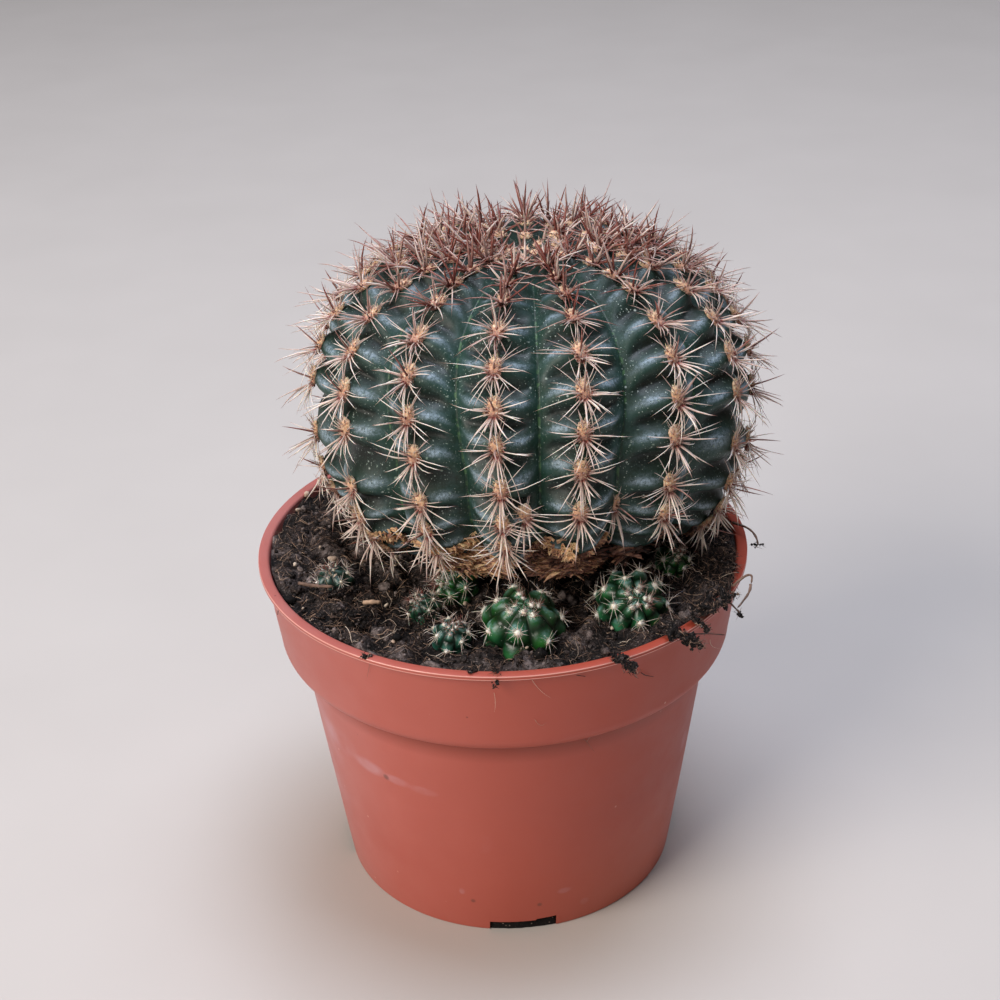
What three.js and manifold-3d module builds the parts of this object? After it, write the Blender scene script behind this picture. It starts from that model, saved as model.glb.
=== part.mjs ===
// A round ribbed cactus with its young pups, growing in peat in a small nursery pot.
// Millimetres, +Z up. The origin is the middle of the pot's foot, on the surface
// that the pot stands on, and the front of the plant faces -Y.

import * as THREE from 'three';
import { mergeVertices } from 'three/addons/utils/BufferGeometryUtils.js';
import Module from 'manifold-3d';

const wasm = await Module();
wasm.setup();

// Clearance between pieces that touch on the real plant.
const GAP = 0.3;

// Nursery pot, moulded in one piece.
const POT = {
  rimRadius: 60,
  height: 88,
  lipHeight: 1.6,
  wall: 1.2,
  collarTopRadius: 58.5,
  collarBottomRadius: 56,
  collarUnderside: 63.4,
  collarRound: 4.7,
  bodyTopRadius: 51,
  footRadius: 42.5,
  footRingWidth: 3.6,
  padRadius: 21,
  channelHeight: 2.4,
  floorThickness: 1.4,
  notchWidth: 15.8,
  notchHeight: 2.4,
  notchAzimuth: 5,
  notches: 4,
  drainRadius: 3.2,
  drainCircle: 30.5,
  drainSides: 10,
  sides: 48,
};

// How far the shapes that cut holes reach past the faces that they cut.
const PAST = 12;

// Peat, from its usual level to the places where it is heaped up.
const SOIL = {
  level: 86.2,
  rings: [54, 50, 45, 39.5, 33, 25, 13],
  coarseInside: 40,
  heaps: [
    { x: 49, y: -4, rise: 3.6, spread: 12 },
    { x: 40, y: 30, rise: 3, spread: 17 },
    { x: -18, y: 46, rise: 1.6, spread: 15 },
    { x: -30, y: -42, rise: 0.8, spread: 9 },
  ],
  lump: 0.55,
  lumpLength: 9,
  // Each wave of lumps is bent by a slower one that runs across it.
  waves: [
    { stretch: 1, bend: 1.3, slowness: 0.43, phase: 0 },
    { stretch: 0.81, bend: 1.1, slowness: 0.6, phase: 2 },
  ],
};

// The mother plant. Its outline is a squashed circle turned about its axis, squarer above
// its middle than below. Its lower flanks are fuller at the sides and behind than over the
// pups in front.
const BALL = {
  x: 8.1,
  y: 8,
  z: 124.3,
  radius: 52.2,
  lower: { height: 36.4, squareness: 0.9 },
  sides: { squareness: 0.62, front: 5, from: 20, to: 70 },
  upper: { height: 38, squareness: 0.8 },
  ribs: 15,
  ribDepth: 5.6,
  ribSharpness: 1.6,
  tubercleDepth: 1.9,
  crownDip: 2.5,
  crownRadius: 10,
  bareCrown: 3,
  lowestLatitude: -62,
  neckRadius: 18,
  neckTop: 89.5,
  neckBottom: 73,
  neckTaper: 5.5,
};

// The places of the ribs and of the woolly cushions along them, in degrees. Each rib has the
// longitude of its middle and the latitude where its row of cushions starts. Going up, the
// ribs lean apart to the left and right, and the cushions crowd at the crown.
const RIBS = {
  longitudes: [-9, 10, 34, 61, 86, 110, 134, 158, 181, 204, 228, 252, 276, 306, 330],
  areoleStarts: [0.5, 4.5, 8, 10.4, 12.9, 9, 12, 8, 11, 7, 10, 6, 8, 5.5, 6],
  spread: 11,
  areolePitch: 11.4,
  crowding: [[-90, -90], [18, 18], [55, 62], [100, 90]],
  crownFrom: 62,
  lowestRow: -5,
  highestRow: 7,
  columns: 4,
  crownColumns: 2,
  crownRow: 5,
};

// Spines at their real length and thickness, up to five to a cushion.
const SPINE = {
  length: 9,
  lengthVariation: 0.1,
  rootRadius: 0.45,
  widestShare: 0.28,
  centralTilt: 14,
  radialTilt: 58,
  crownTilt: 35,
  turnVariation: 6,
  swings: [0, -10, 10, -20, 20],
  clearance: 0.5,
  soilClearance: 0.8,
  rimClearance: 1,
  pupClearance: 1.2,
};

// Young plants at the foot, each with the direction that its crown faces.
const PUPS = [
  { name: 'pup_front', x: 4.1, y: -40.2, z: 87.6, radius: 9.9, crown: [0.02, -0.36, 0.93], ribs: 7 },
  { name: 'pup_right', x: 29.3, y: -32.4, z: 88, radius: 8.7, crown: [0.14, -0.7, 0.7], ribs: 9 },
  { name: 'pup_left', x: -10.9, y: -22.4, z: 88.6, radius: 5.5, crown: [-0.8, -0.35, 0.5], ribs: 8 },
  { name: 'pup_low_left', x: -12.2, y: -43.4, z: 87.6, radius: 4.6, crown: [0.1, -0.34, 0.93], ribs: 7 },
  { name: 'pup_shaded', x: -18.4, y: -31, z: 87.4, radius: 4.3, crown: [-0.4, -0.3, 0.86], ribs: 7 },
  { name: 'pup_far_right', x: 40.4, y: -14.4, z: 89, radius: 4.4, crown: [0.3, -0.5, 0.8], ribs: 7 },
  { name: 'pup_far_left', x: -40.2, y: -17.6, z: 87.2, radius: 4.8, crown: [-0.2, -0.2, 0.95], ribs: 7 },
];
const PUP = {
  flatness: 0.94,
  ribDepth: 0.2,
  ribSharpness: 1.6,
  tubercleDepth: 0.1,
  areolePitch: 36,
  firstAreole: -18,
  areoles: 3,
  lastRing: 72,
  spineLength: 3.4,
  spineRootRadius: 0.3,
  lowestAreole: 1.2,
  largeFrom: 7,
};

const COLOURS = {
  pot: { color: 0xb0594a, roughness: 0.42 },
  soil: { color: 0x2a211c, roughness: 0.95 },
  ball: { color: 0x1f4238, roughness: 0.5 },
  pup: { color: 0x2b6a30, roughness: 0.45 },
};

const radians = THREE.MathUtils.degToRad;
const smoothstep = THREE.MathUtils.smoothstep;

// Seeded random numbers from 0 to 1, the same on every run.
function seededRandom(seed) {
  let state = seed;
  return () => {
    state = (state * 1664525 + 1013904223) % 4294967296;
    return state / 4294967296;
  };
}

// Leaves only positions, with shared corners, and drops faces that have shrunk to a line.
function weld(geometry) {
  const bare = geometry.clone();
  bare.deleteAttribute('normal');
  bare.deleteAttribute('uv');
  const welded = mergeVertices(bare, 1e-4);
  const index = welded.index.array;
  const kept = [];
  for (let i = 0; i < index.length; i += 3) {
    const [a, b, c] = [index[i], index[i + 1], index[i + 2]];
    if (a !== b && b !== c && c !== a) kept.push(a, b, c);
  }
  welded.setIndex(kept);
  return welded;
}

function toSolid(geometry) {
  const welded = weld(geometry);
  return new wasm.Manifold(new wasm.Mesh({
    numProp: 3,
    vertProperties: new Float32Array(welded.attributes.position.array),
    triVerts: new Uint32Array(welded.index.array),
  }));
}

function toGeometry(solid) {
  const mesh = solid.getMesh();
  const geometry = new THREE.BufferGeometry();
  geometry.setAttribute('position', new THREE.BufferAttribute(mesh.vertProperties, 3));
  geometry.setIndex(new THREE.BufferAttribute(mesh.triVerts, 1));
  geometry.computeVertexNormals();
  return geometry;
}

function toMesh(name, geometry, colour) {
  const material = new THREE.MeshStandardMaterial({ metalness: 0, ...colour });
  const mesh = new THREE.Mesh(geometry, material);
  mesh.name = name;
  return mesh;
}

// A closed skin over a stack of rings, from a lower end point to an upper one. Each ring is
// a list of points, and may have half as many as the ring below it.
function stackedRings(rings, bottom, top) {
  const points = [bottom, ...rings.flat(), top].map((point) => new THREE.Vector3(...point));
  const starts = [];
  let next = 1;
  for (const ring of rings) {
    starts.push(next);
    next += ring.length;
  }
  const faces = [];
  const at = (row, column) => starts[row] + (column % rings[row].length);
  const lastRow = rings.length - 1;
  for (let column = 0; column < rings[0].length; column += 1) {
    faces.push([0, at(0, column + 1), at(0, column)]);
  }
  for (let row = 0; row < lastRow; row += 1) {
    const halved = rings[row + 1].length < rings[row].length;
    for (let column = 0; column < rings[row + 1].length; column += 1) {
      const [d, c] = [at(row + 1, column), at(row + 1, column + 1)];
      if (halved) {
        const [a, m, b] = [at(row, 2 * column), at(row, 2 * column + 1), at(row, 2 * column + 2)];
        faces.push([a, m, d], [m, c, d], [m, b, c]);
      } else {
        const [a, b] = [at(row, column), at(row, column + 1)];
        faces.push([a, b, c], [a, c, d]);
      }
    }
  }
  for (let column = 0; column < rings[lastRow].length; column += 1) {
    faces.push([next, at(lastRow, column), at(lastRow, column + 1)]);
  }
  return { points, faces };
}

function skinGeometry({ points, faces }) {
  const geometry = new THREE.BufferGeometry();
  const numbers = points.flatMap((point) => point.toArray());
  geometry.setAttribute('position', new THREE.Float32BufferAttribute(numbers, 3));
  geometry.setIndex(faces.flat());
  geometry.computeVertexNormals();
  return geometry;
}

// Ring points, from a function of the column number.
function ringOf(columns, pointAt) {
  return Array.from({ length: columns }, (_, column) => pointAt(column));
}

// A solid of revolution about a vertical axis, from a list of radius and height pairs.
function turned(profile, sides, x = 0, y = 0) {
  const geometry = new THREE.LatheGeometry(profile.map(([r, z]) => new THREE.Vector2(r, z)), sides);
  geometry.rotateX(Math.PI / 2);
  geometry.translate(x, y, 0);
  return geometry;
}

// Inside of the pot's wall at a height, as a radius.
function potInsideRadius(z) {
  const p = POT;
  const shoulder = p.collarUnderside + p.collarRound;
  if (z > shoulder) {
    const up = (z - shoulder) / (p.height - p.lipHeight - shoulder);
    return THREE.MathUtils.lerp(p.collarBottomRadius, p.collarTopRadius, Math.min(up, 1)) - p.wall;
  }
  const up = Math.min(z / p.collarUnderside, 1);
  return THREE.MathUtils.lerp(p.footRadius, p.bodyTopRadius, up) - p.wall;
}

function makePot() {
  const p = POT;
  const lipBottom = p.height - p.lipHeight;
  const shoulder = p.collarUnderside + p.collarRound;
  const floor = p.channelHeight + p.floorThickness;
  const ringInside = p.footRadius - p.footRingWidth;
  const underCollar = [0.4, 0.75].map((turn) => {
    const angle = turn * Math.PI / 2;
    return [
      p.bodyTopRadius + (p.collarBottomRadius - p.bodyTopRadius) * Math.sin(angle),
      shoulder - p.collarRound * Math.cos(angle),
    ];
  });
  const outside = [
    [0, 0], [p.padRadius - 1, 0], [p.padRadius + 0.5, p.channelHeight],
    [ringInside - 0.8, p.channelHeight], [ringInside, 0], [p.footRadius, 0],
    [p.bodyTopRadius, p.collarUnderside], ...underCollar,
    [p.collarBottomRadius, shoulder], [p.collarTopRadius, lipBottom],
    [p.rimRadius, lipBottom + 0.5], [p.rimRadius, p.height],
  ];
  const inside = [
    [p.collarTopRadius - 0.4, p.height], [p.collarTopRadius - p.wall, lipBottom],
    [p.collarBottomRadius - p.wall, shoulder],
    [p.bodyTopRadius - p.wall + 2, p.collarUnderside + 1.6],
    ...[p.collarUnderside - 1, floor + 1].map((z) => [potInsideRadius(z), z]), [ringInside - 1, floor],
    [p.padRadius - 0.5, floor], [p.padRadius - 2, p.floorThickness], [0, p.floorThickness],
  ];
  let solid = toSolid(turned([...outside, ...inside], p.sides));
  for (let i = 0; i < p.notches; i += 1) {
    const turn = radians(p.notchAzimuth + i * 360 / p.notches);
    const notch = new THREE.BoxGeometry(p.notchWidth, PAST, 2 * p.notchHeight);
    notch.translate(0, -p.footRadius, 0);
    const drain = new THREE.CylinderGeometry(p.drainRadius, p.drainRadius, PAST, p.drainSides);
    drain.rotateX(Math.PI / 2);
    drain.translate(0, -p.drainCircle, p.channelHeight);
    for (const cutter of [notch, drain]) {
      cutter.rotateZ(turn);
      solid = solid.subtract(toSolid(cutter));
    }
  }
  return toMesh('pot', toGeometry(solid), COLOURS.pot);
}

// Smooth lumps, a mix of waves that doesn't repeat across the pot.
function soilLump(x, y) {
  const k = 2 * Math.PI / SOIL.lumpLength;
  const bentWave = ({ stretch, bend, slowness, phase }, along, across) => (
    Math.sin(k * stretch * along + bend * Math.sin(k * slowness * across + phase))
  );
  return SOIL.lump * (bentWave(SOIL.waves[0], x, y) + bentWave(SOIL.waves[1], y, x));
}

function soilHeight(x, y) {
  let z = SOIL.level + soilLump(x, y);
  for (const heap of SOIL.heaps) {
    const away = Math.hypot(x - heap.x, y - heap.y) / heap.spread;
    z += heap.rise * Math.exp(-away * away);
  }
  return z;
}

// The hole that a pup stands in: a round hollow with straight sides above its middle.
// Its corners stand out far enough for its flat faces to clear the pup.
function pupHole(pup) {
  const sides = pup.radius > PUP.largeFrom ? 16 : 12;
  const step = 30;
  const radius = (pup.radius + GAP) / (Math.cos(Math.PI / sides) * Math.cos(radians(step / 2)));
  const profile = [];
  for (let angle = -90; angle <= 0; angle += step) {
    profile.push([radius * Math.cos(radians(angle)), pup.z + radius * Math.sin(radians(angle))]);
  }
  profile[0][0] = 0;
  profile.push([radius, POT.height + PAST], [0, POT.height + PAST]);
  return turned(profile, sides, pup.x, pup.y);
}

function makeSoil() {
  const floor = POT.channelHeight + POT.floorThickness + GAP;
  const wallHeights = [floor + 1.4, POT.collarUnderside - 1, POT.collarUnderside + POT.collarRound + 1.6];
  const edgeRadius = potInsideRadius(SOIL.level) - GAP;
  const skin = [
    [POT.padRadius - 2.4, POT.floorThickness + GAP],
    [POT.padRadius - 0.7, floor],
    [POT.footRadius - POT.footRingWidth - 1, floor],
    ...wallHeights.map((z) => [potInsideRadius(z) - GAP, z]),
    [edgeRadius, null],
    ...SOIL.rings.map((r) => [r, null]),
  ].map(([r, z]) => {
    const columns = z === null && r < SOIL.coarseInside ? POT.sides / 2 : POT.sides;
    return ringOf(columns, (column) => {
      const turn = 2 * Math.PI * column / columns;
      const [x, y] = [r * Math.cos(turn), r * Math.sin(turn)];
      return [x, y, z ?? soilHeight(x, y)];
    });
  });
  const heap = stackedRings(skin, [0, 0, POT.floorThickness + GAP], [0, 0, soilHeight(0, 0)]);
  let solid = toSolid(skinGeometry(heap));
  const neckSpace = BALL.neckRadius + GAP + 0.2;
  const neckHole = turned([
    [0, BALL.neckBottom - GAP], [BALL.neckRadius * 0.85, BALL.neckBottom - GAP],
    [neckSpace, BALL.neckBottom + BALL.neckTaper - 0.5], [neckSpace, POT.height + PAST],
    [0, POT.height + PAST],
  ], POT.sides, BALL.x, BALL.y);
  solid = solid.subtract(toSolid(neckHole));
  for (const pup of PUPS) solid = solid.subtract(toSolid(pupHole(pup)));
  return toMesh('soil', toGeometry(solid), COLOURS.soil);
}

// Value at a place between the points of a list of place and value pairs, in a straight line.
function between(pairs, place) {
  const next = Math.max(pairs.findIndex(([at]) => at >= place), 1);
  const [[a, from], [b, to]] = [pairs[next - 1], pairs[next]];
  return THREE.MathUtils.mapLinear(place, a, b, from, to);
}

// Latitude on the outline for an even count along a rib.
function crowdedLatitude(even) {
  return between(RIBS.crowding, even);
}

// Longitude in degrees of a place counted in ribs, at a latitude in degrees.
function ribLongitude(rib, latitude) {
  const middles = [...RIBS.longitudes, RIBS.longitudes[0] + 360].map((longitude, i) => [i, longitude]);
  const longitude = between(middles, rib);
  const lean = RIBS.spread * Math.sin(radians(2 * longitude)) * Math.max(latitude, 0) / 45;
  return longitude + lean;
}

// Where the row of cushions starts on a rib, drawn towards the next rib's in the valley.
function areoleOffset(rib) {
  const whole = Math.round(rib);
  const beside = rib < whole ? whole - 1 : whole + 1;
  const start = (k) => RIBS.areoleStarts[(k + BALL.ribs) % BALL.ribs];
  const towardsValley = smoothstep(Math.abs(rib - whole), 0.3, 0.5) / 2;
  return THREE.MathUtils.lerp(start(whole), start(beside), towardsValley);
}

// Squareness of the lower half at a longitude in degrees.
function lowerSquareness(longitude) {
  const { squareness, front, from, to } = BALL.sides;
  const turned = Math.abs(THREE.MathUtils.euclideanModulo(longitude - front + 180, 360) - 180);
  return THREE.MathUtils.lerp(BALL.lower.squareness, squareness, smoothstep(turned, from, to));
}

// Radius, height and outward direction on the outline, at a latitude in radians and a
// longitude in degrees.
function ballOutline(latitude, longitude) {
  const c = Math.max(Math.cos(latitude), 0);
  const s = Math.sin(latitude);
  const halfHeight = s > 0 ? BALL.upper.height : BALL.lower.height;
  const squareness = s > 0 ? BALL.upper.squareness : lowerSquareness(longitude);
  const rho = BALL.radius * c ** squareness;
  const height = halfHeight * Math.sign(s) * Math.abs(s) ** squareness;
  const outR = c ** (2 - squareness) / BALL.radius;
  const outZ = Math.sign(s) * Math.abs(s) ** (2 - squareness) / halfHeight;
  const size = Math.hypot(outR, outZ);
  return { rho, height, outR: outR / size, outZ: outZ / size };
}

// How deep a groove is at a count of cushions along a rib: 0 at a cushion, 1 between two.
function grooveShare(count) {
  return (1 - Math.cos(2 * Math.PI * count)) / 2;
}

// A point on the mother plant's skin. rib counts ribs round the plant and even is the
// evenly counted latitude in degrees.
function ballPoint(rib, even) {
  const b = BALL;
  const degrees = crowdedLatitude(even);
  const latitude = radians(degrees);
  const longitude = ribLongitude(rib, degrees);
  const { rho, height, outR, outZ } = ballOutline(latitude, longitude);
  const across = Math.abs(rib - Math.round(rib));
  const fade = Math.max(rho / b.radius, 0) ** 0.7 * smoothstep(degrees, -78, -35);
  const groove = b.tubercleDepth * grooveShare((even - areoleOffset(rib)) / RIBS.areolePitch)
    * (1 - smoothstep(across, 0.26, 0.48));
  const inward = fade * (b.ribDepth * (2 * across) ** b.ribSharpness + groove);
  const dip = latitude > 0 ? b.crownDip * Math.exp(-((rho / b.crownRadius) ** 2)) : 0;
  const r = Math.max(rho - outR * inward, 0);
  const turn = radians(longitude - 90);
  return [b.x + r * Math.cos(turn), b.y + r * Math.sin(turn), b.z + height - outZ * inward - dip];
}

// A woolly cushion on a skin: its point with the outward, sideways and upward directions.
function cushionAt(point, out) {
  const side = new THREE.Vector3(0, 0, 1).cross(out).normalize();
  const up = new THREE.Vector3().crossVectors(out, side);
  return { point, out, side, up };
}

function ballCushion(rib, even) {
  const latitude = crowdedLatitude(even);
  const longitude = ribLongitude(rib, latitude);
  const { outR, outZ } = ballOutline(radians(latitude), longitude);
  const turn = radians(longitude - 90);
  const out = new THREE.Vector3(outR * Math.cos(turn), outR * Math.sin(turn), outZ);
  return cushionAt(new THREE.Vector3(...ballPoint(rib, even)), out);
}

// Shortest distance between two straight needles.
function needleDistance(a, b) {
  const u = a.tip.clone().sub(a.root);
  const v = b.tip.clone().sub(b.root);
  const w = a.root.clone().sub(b.root);
  const [uu, uv, vv, uw, vw] = [u.dot(u), u.dot(v), v.dot(v), u.dot(w), v.dot(w)];
  const size = uu * vv - uv * uv;
  let s = size > 1e-9 ? THREE.MathUtils.clamp((uv * vw - vv * uw) / size, 0, 1) : 0;
  const t = THREE.MathUtils.clamp((uv * s + vw) / vv, 0, 1);
  s = THREE.MathUtils.clamp((uv * t - uw) / uu, 0, 1);
  return a.root.clone().addScaledVector(u, s).distanceTo(b.root.clone().addScaledVector(v, t));
}

function clearOfPups(needle, margin, own) {
  for (const pup of PUPS) {
    if (pup.name === own) continue;
    const centre = new THREE.Vector3(pup.x, pup.y, pup.z);
    const line = new THREE.Line3(needle.root, needle.tip);
    const nearest = line.closestPointToPoint(centre, true, new THREE.Vector3());
    if (nearest.distanceTo(centre) < pup.radius + margin) return false;
  }
  return true;
}

// A spine fits if it keeps clear of the soil, the pot's rim, the pups and the other spines.
function spineFits(needle, others, own) {
  const { tip } = needle;
  const overWall = Math.hypot(tip.x, tip.y) > potInsideRadius(POT.height) - SPINE.rimClearance;
  if (tip.z < soilHeight(tip.x, tip.y) + SPINE.soilClearance) return false;
  if (overWall && tip.z < POT.height + SPINE.rimClearance) return false;
  if (!clearOfPups(needle, SPINE.pupClearance, own)) return false;
  return others.every((other) => {
    const clearance = other.cushion === needle.cushion ? 0 : SPINE.clearance;
    return needleDistance(other, needle) > 2 * SPINE.rootRadius + clearance;
  });
}

// A direction leaning away from the outward one by a tilt, towards an angle round it.
function leaning(frame, tilt, around) {
  const lean = Math.sin(radians(tilt));
  return frame.out.clone().multiplyScalar(Math.cos(radians(tilt)))
    .addScaledVector(frame.side, lean * Math.cos(radians(around)))
    .addScaledVector(frame.up, lean * Math.sin(radians(around)));
}

// The corner of a skin nearest to a point, and the faces that meet there, each with a root
// for a spine halfway between that corner and the middle of the opposite edge.
function cornerAt(skin, point) {
  let corner = 0;
  skin.points.forEach((candidate, i) => {
    if (candidate.distanceTo(point) < skin.points[corner].distanceTo(point)) corner = i;
  });
  const faces = skin.faces.filter((face) => face.includes(corner));
  return faces.map((face) => {
    const beside = face.filter((i) => i !== corner).map((i) => skin.points[i]);
    const root = skin.points[corner].clone().multiplyScalar(0.5);
    beside.forEach((other) => root.addScaledVector(other, 0.25));
    return { face, root, away: root.clone().sub(skin.points[corner]).normalize() };
  });
}

// Chooses the spines of one cushion. Each stands on its own face beside the cushion's corner,
// the one that lies most in the direction in which the spine leans.
function cushionNeedles(skin, cushion, leans, place, placed, own) {
  const free = cornerAt(skin, cushion.point);
  const needles = [];
  for (const { tilt, around, length } of leans) {
    const towards = leaning(cushion, 90, around);
    free.sort((a, b) => b.away.dot(towards) - a.away.dot(towards));
    const [host] = free;
    if (!host) break;
    for (const swing of SPINE.swings) {
      const tip = host.root.clone().addScaledVector(leaning(cushion, tilt + swing, around), length);
      const needle = { root: host.root.clone().applyMatrix4(place), tip: tip.clone().applyMatrix4(place) };
      needle.cushion = cushion;
      if (spineFits(needle, placed, own)) {
        placed.push(needle);
        needles.push({ face: host.face, root: host.root, tip });
        free.shift();
        break;
      }
    }
  }
  return needles;
}

// Raises three-sided needles out of the faces that they stand on.
function raiseNeedles(skin, needles, rootRadius) {
  const points = [...skin.points];
  const faces = skin.faces.filter((face) => !needles.some((needle) => needle.face === face));
  for (const { face, root, tip } of needles) {
    const corners = face.map((i) => skin.points[i]);
    const middle = corners[0].clone().add(corners[1]).add(corners[2]).divideScalar(3);
    const reach = Math.max(...corners.map((corner) => corner.distanceTo(middle)));
    const share = Math.min(rootRadius / reach, SPINE.widestShare);
    const first = points.length;
    corners.forEach((corner) => {
      points.push(root.clone().addScaledVector(corner.clone().sub(middle), share));
    });
    points.push(tip);
    for (let i = 0; i < 3; i += 1) {
      const j = (i + 1) % 3;
      faces.push([face[i], face[j], first + j], [face[i], first + j, first + i]);
      faces.push([first + i, first + j, first + 3]);
    }
  }
  return { points, faces };
}

// The spines of one cushion: one near the middle and the rest spread round it. At the crown
// they are fewer and stand up.
function spineLeans(turnedStar, crown, random) {
  const tilt = crown ? SPINE.crownTilt : SPINE.radialTilt;
  const start = turnedStar ? 15 : 45;
  const arounds = crown ? [start, start + 180] : [start, start + 90, start + 180, start + 270];
  const leans = [{ tilt: SPINE.centralTilt, around: crown ? 90 : 260 }];
  leans.push(...arounds.map((around) => ({ tilt, around })));
  const varied = () => 2 * random() - 1;
  return leans.map((lean) => ({
    ...lean,
    around: lean.around + SPINE.turnVariation * varied(),
    length: SPINE.length * (1 + SPINE.lengthVariation * varied()),
  }));
}

function ballSkin() {
  const b = BALL;
  const neck = [
    [b.neckRadius * 0.55, b.neckBottom], [b.neckRadius * 0.8, b.neckBottom + 0.6],
    [b.neckRadius, b.neckBottom + b.neckTaper], [b.neckRadius, b.neckTop - 2],
    [b.neckRadius + 3, b.neckTop + 0.4],
  ];
  const rings = neck.map(([r, z]) => ringOf(RIBS.columns * b.ribs, (column) => {
    const turn = radians(ribLongitude(column / RIBS.columns, 0) - 90);
    return [b.x + r * Math.cos(turn), b.y + r * Math.sin(turn), z];
  }));
  rings.push(ringOf(RIBS.columns * b.ribs, (column) => ballPoint(column / RIBS.columns, b.lowestLatitude)));
  for (let row = RIBS.lowestRow; row <= RIBS.highestRow; row += 0.5) {
    const columns = row < RIBS.crownRow ? RIBS.columns : RIBS.crownColumns;
    rings.push(ringOf(columns * b.ribs, (column) => {
      const rib = column / columns;
      return ballPoint(rib, areoleOffset(rib) + row * RIBS.areolePitch);
    }));
  }
  const [pole] = RIBS.crowding.at(-1);
  return stackedRings(rings, [b.x, b.y, b.neckBottom], ballPoint(0, pole));
}

function makeBall(placed) {
  const random = seededRandom(12);
  const skin = ballSkin();
  const place = new THREE.Matrix4();
  const needles = [];
  for (let rib = 0; rib < BALL.ribs; rib += 1) {
    for (let row = RIBS.lowestRow + 1; row <= RIBS.highestRow; row += 1) {
      const even = areoleOffset(rib) + row * RIBS.areolePitch;
      const latitude = crowdedLatitude(even);
      if (ballOutline(radians(latitude), RIBS.longitudes[rib]).rho < BALL.bareCrown) continue;
      const leans = spineLeans((rib + row) % 2 === 0, latitude > RIBS.crownFrom, random);
      needles.push(...cushionNeedles(skin, ballCushion(rib, even), leans, place, placed, ''));
    }
  }
  const spiny = raiseNeedles(skin, needles, SPINE.rootRadius);
  return toMesh('cactus_body', skinGeometry(spiny), COLOURS.ball);
}

// A point on a pup's skin about its own centre, with its crown towards +Z.
function pupPoint(pup, rib, latitude) {
  const across = Math.abs(rib - Math.round(rib));
  const start = Math.round(rib) % 2 === 0 ? 0 : PUP.areolePitch / 2;
  const count = (latitude - PUP.firstAreole - start) / PUP.areolePitch;
  const fade = Math.cos(radians(latitude));
  const groove = PUP.tubercleDepth * grooveShare(count) * (1 - smoothstep(across, 0.3, 0.5));
  const r = pup.radius * (1 - fade * (PUP.ribDepth * (2 * across) ** PUP.ribSharpness + groove));
  const turn = 2 * Math.PI * rib / pup.ribs;
  const flat = r * fade;
  return [flat * Math.cos(turn), flat * Math.sin(turn), PUP.flatness * r * Math.sin(radians(latitude))];
}

// A pup's place in the pot: its centre, with its crown turned the right way.
function pupPlace(pup) {
  const crown = new THREE.Vector3(...pup.crown).normalize();
  const turn = new THREE.Quaternion().setFromUnitVectors(new THREE.Vector3(0, 0, 1), crown);
  const centre = new THREE.Vector3(pup.x, pup.y, pup.z);
  return new THREE.Matrix4().compose(centre, turn, new THREE.Vector3(1, 1, 1));
}

// A pup is built about its own centre and then set in its place.
function makePup(pup, placed) {
  const perRib = pup.radius > PUP.largeFrom ? 4 : 2;
  const rings = [];
  for (let latitude = -PUP.lastRing; latitude <= PUP.lastRing; latitude += PUP.areolePitch / 2) {
    rings.push(ringOf(pup.ribs * perRib, (column) => pupPoint(pup, column / perRib, latitude)));
  }
  const high = PUP.flatness * pup.radius;
  const skin = stackedRings(rings, [0, 0, -high], [0, 0, high]);
  const place = pupPlace(pup);
  const needles = [];
  for (let rib = 0; rib < pup.ribs; rib += 1) {
    const start = PUP.firstAreole + (rib % 2 === 0 ? 0 : PUP.areolePitch / 2);
    for (let row = 0; row < PUP.areoles; row += 1) {
      const point = new THREE.Vector3(...pupPoint(pup, rib, start + row * PUP.areolePitch));
      const { x, y, z } = point.clone().applyMatrix4(place);
      if (z < soilHeight(x, y) + PUP.lowestAreole) continue;
      const cushion = cushionAt(point, point.clone().normalize());
      const leans = [{ tilt: 0, around: 0, length: PUP.spineLength }];
      needles.push(...cushionNeedles(skin, cushion, leans, place, placed, pup.name));
    }
  }
  const spiny = raiseNeedles(skin, needles, PUP.spineRootRadius);
  const mesh = toMesh(pup.name, skinGeometry(spiny), COLOURS.pup);
  mesh.applyMatrix4(place);
  return mesh;
}

// The mother plant's spines are placed first, and each pup's keep clear of those before it.
function makePlant() {
  const plant = new THREE.Group();
  const placed = [];
  plant.add(makeBall(placed));
  for (const pup of PUPS) plant.add(makePup(pup, placed));
  return plant;
}

const pottedCactus = new THREE.Group();
pottedCactus.add(makePot(), makeSoil(), makePlant());

export default pottedCactus;
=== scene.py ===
import math
from functools import reduce

import bmesh
import bpy
import numpy as np
from mathutils import Matrix, Vector


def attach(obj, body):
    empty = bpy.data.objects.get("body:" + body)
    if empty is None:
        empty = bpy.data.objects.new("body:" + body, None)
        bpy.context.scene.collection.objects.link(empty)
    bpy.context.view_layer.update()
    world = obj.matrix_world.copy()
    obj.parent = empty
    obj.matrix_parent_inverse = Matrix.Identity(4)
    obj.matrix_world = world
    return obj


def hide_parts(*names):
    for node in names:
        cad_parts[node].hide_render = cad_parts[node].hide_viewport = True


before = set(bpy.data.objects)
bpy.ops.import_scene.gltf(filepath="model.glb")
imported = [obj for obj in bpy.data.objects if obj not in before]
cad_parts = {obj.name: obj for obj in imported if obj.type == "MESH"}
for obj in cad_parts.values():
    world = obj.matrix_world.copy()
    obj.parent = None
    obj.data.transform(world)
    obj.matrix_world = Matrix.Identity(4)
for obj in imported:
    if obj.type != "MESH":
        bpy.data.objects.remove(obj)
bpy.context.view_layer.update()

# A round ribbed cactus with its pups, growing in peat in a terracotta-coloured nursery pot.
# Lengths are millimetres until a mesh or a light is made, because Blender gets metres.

mm = 0.001
tau = 2 * math.pi
scene = bpy.context.scene


# Sums that every piece uses

def mix(start, end, share):
    return start + (end - start) * share


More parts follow.
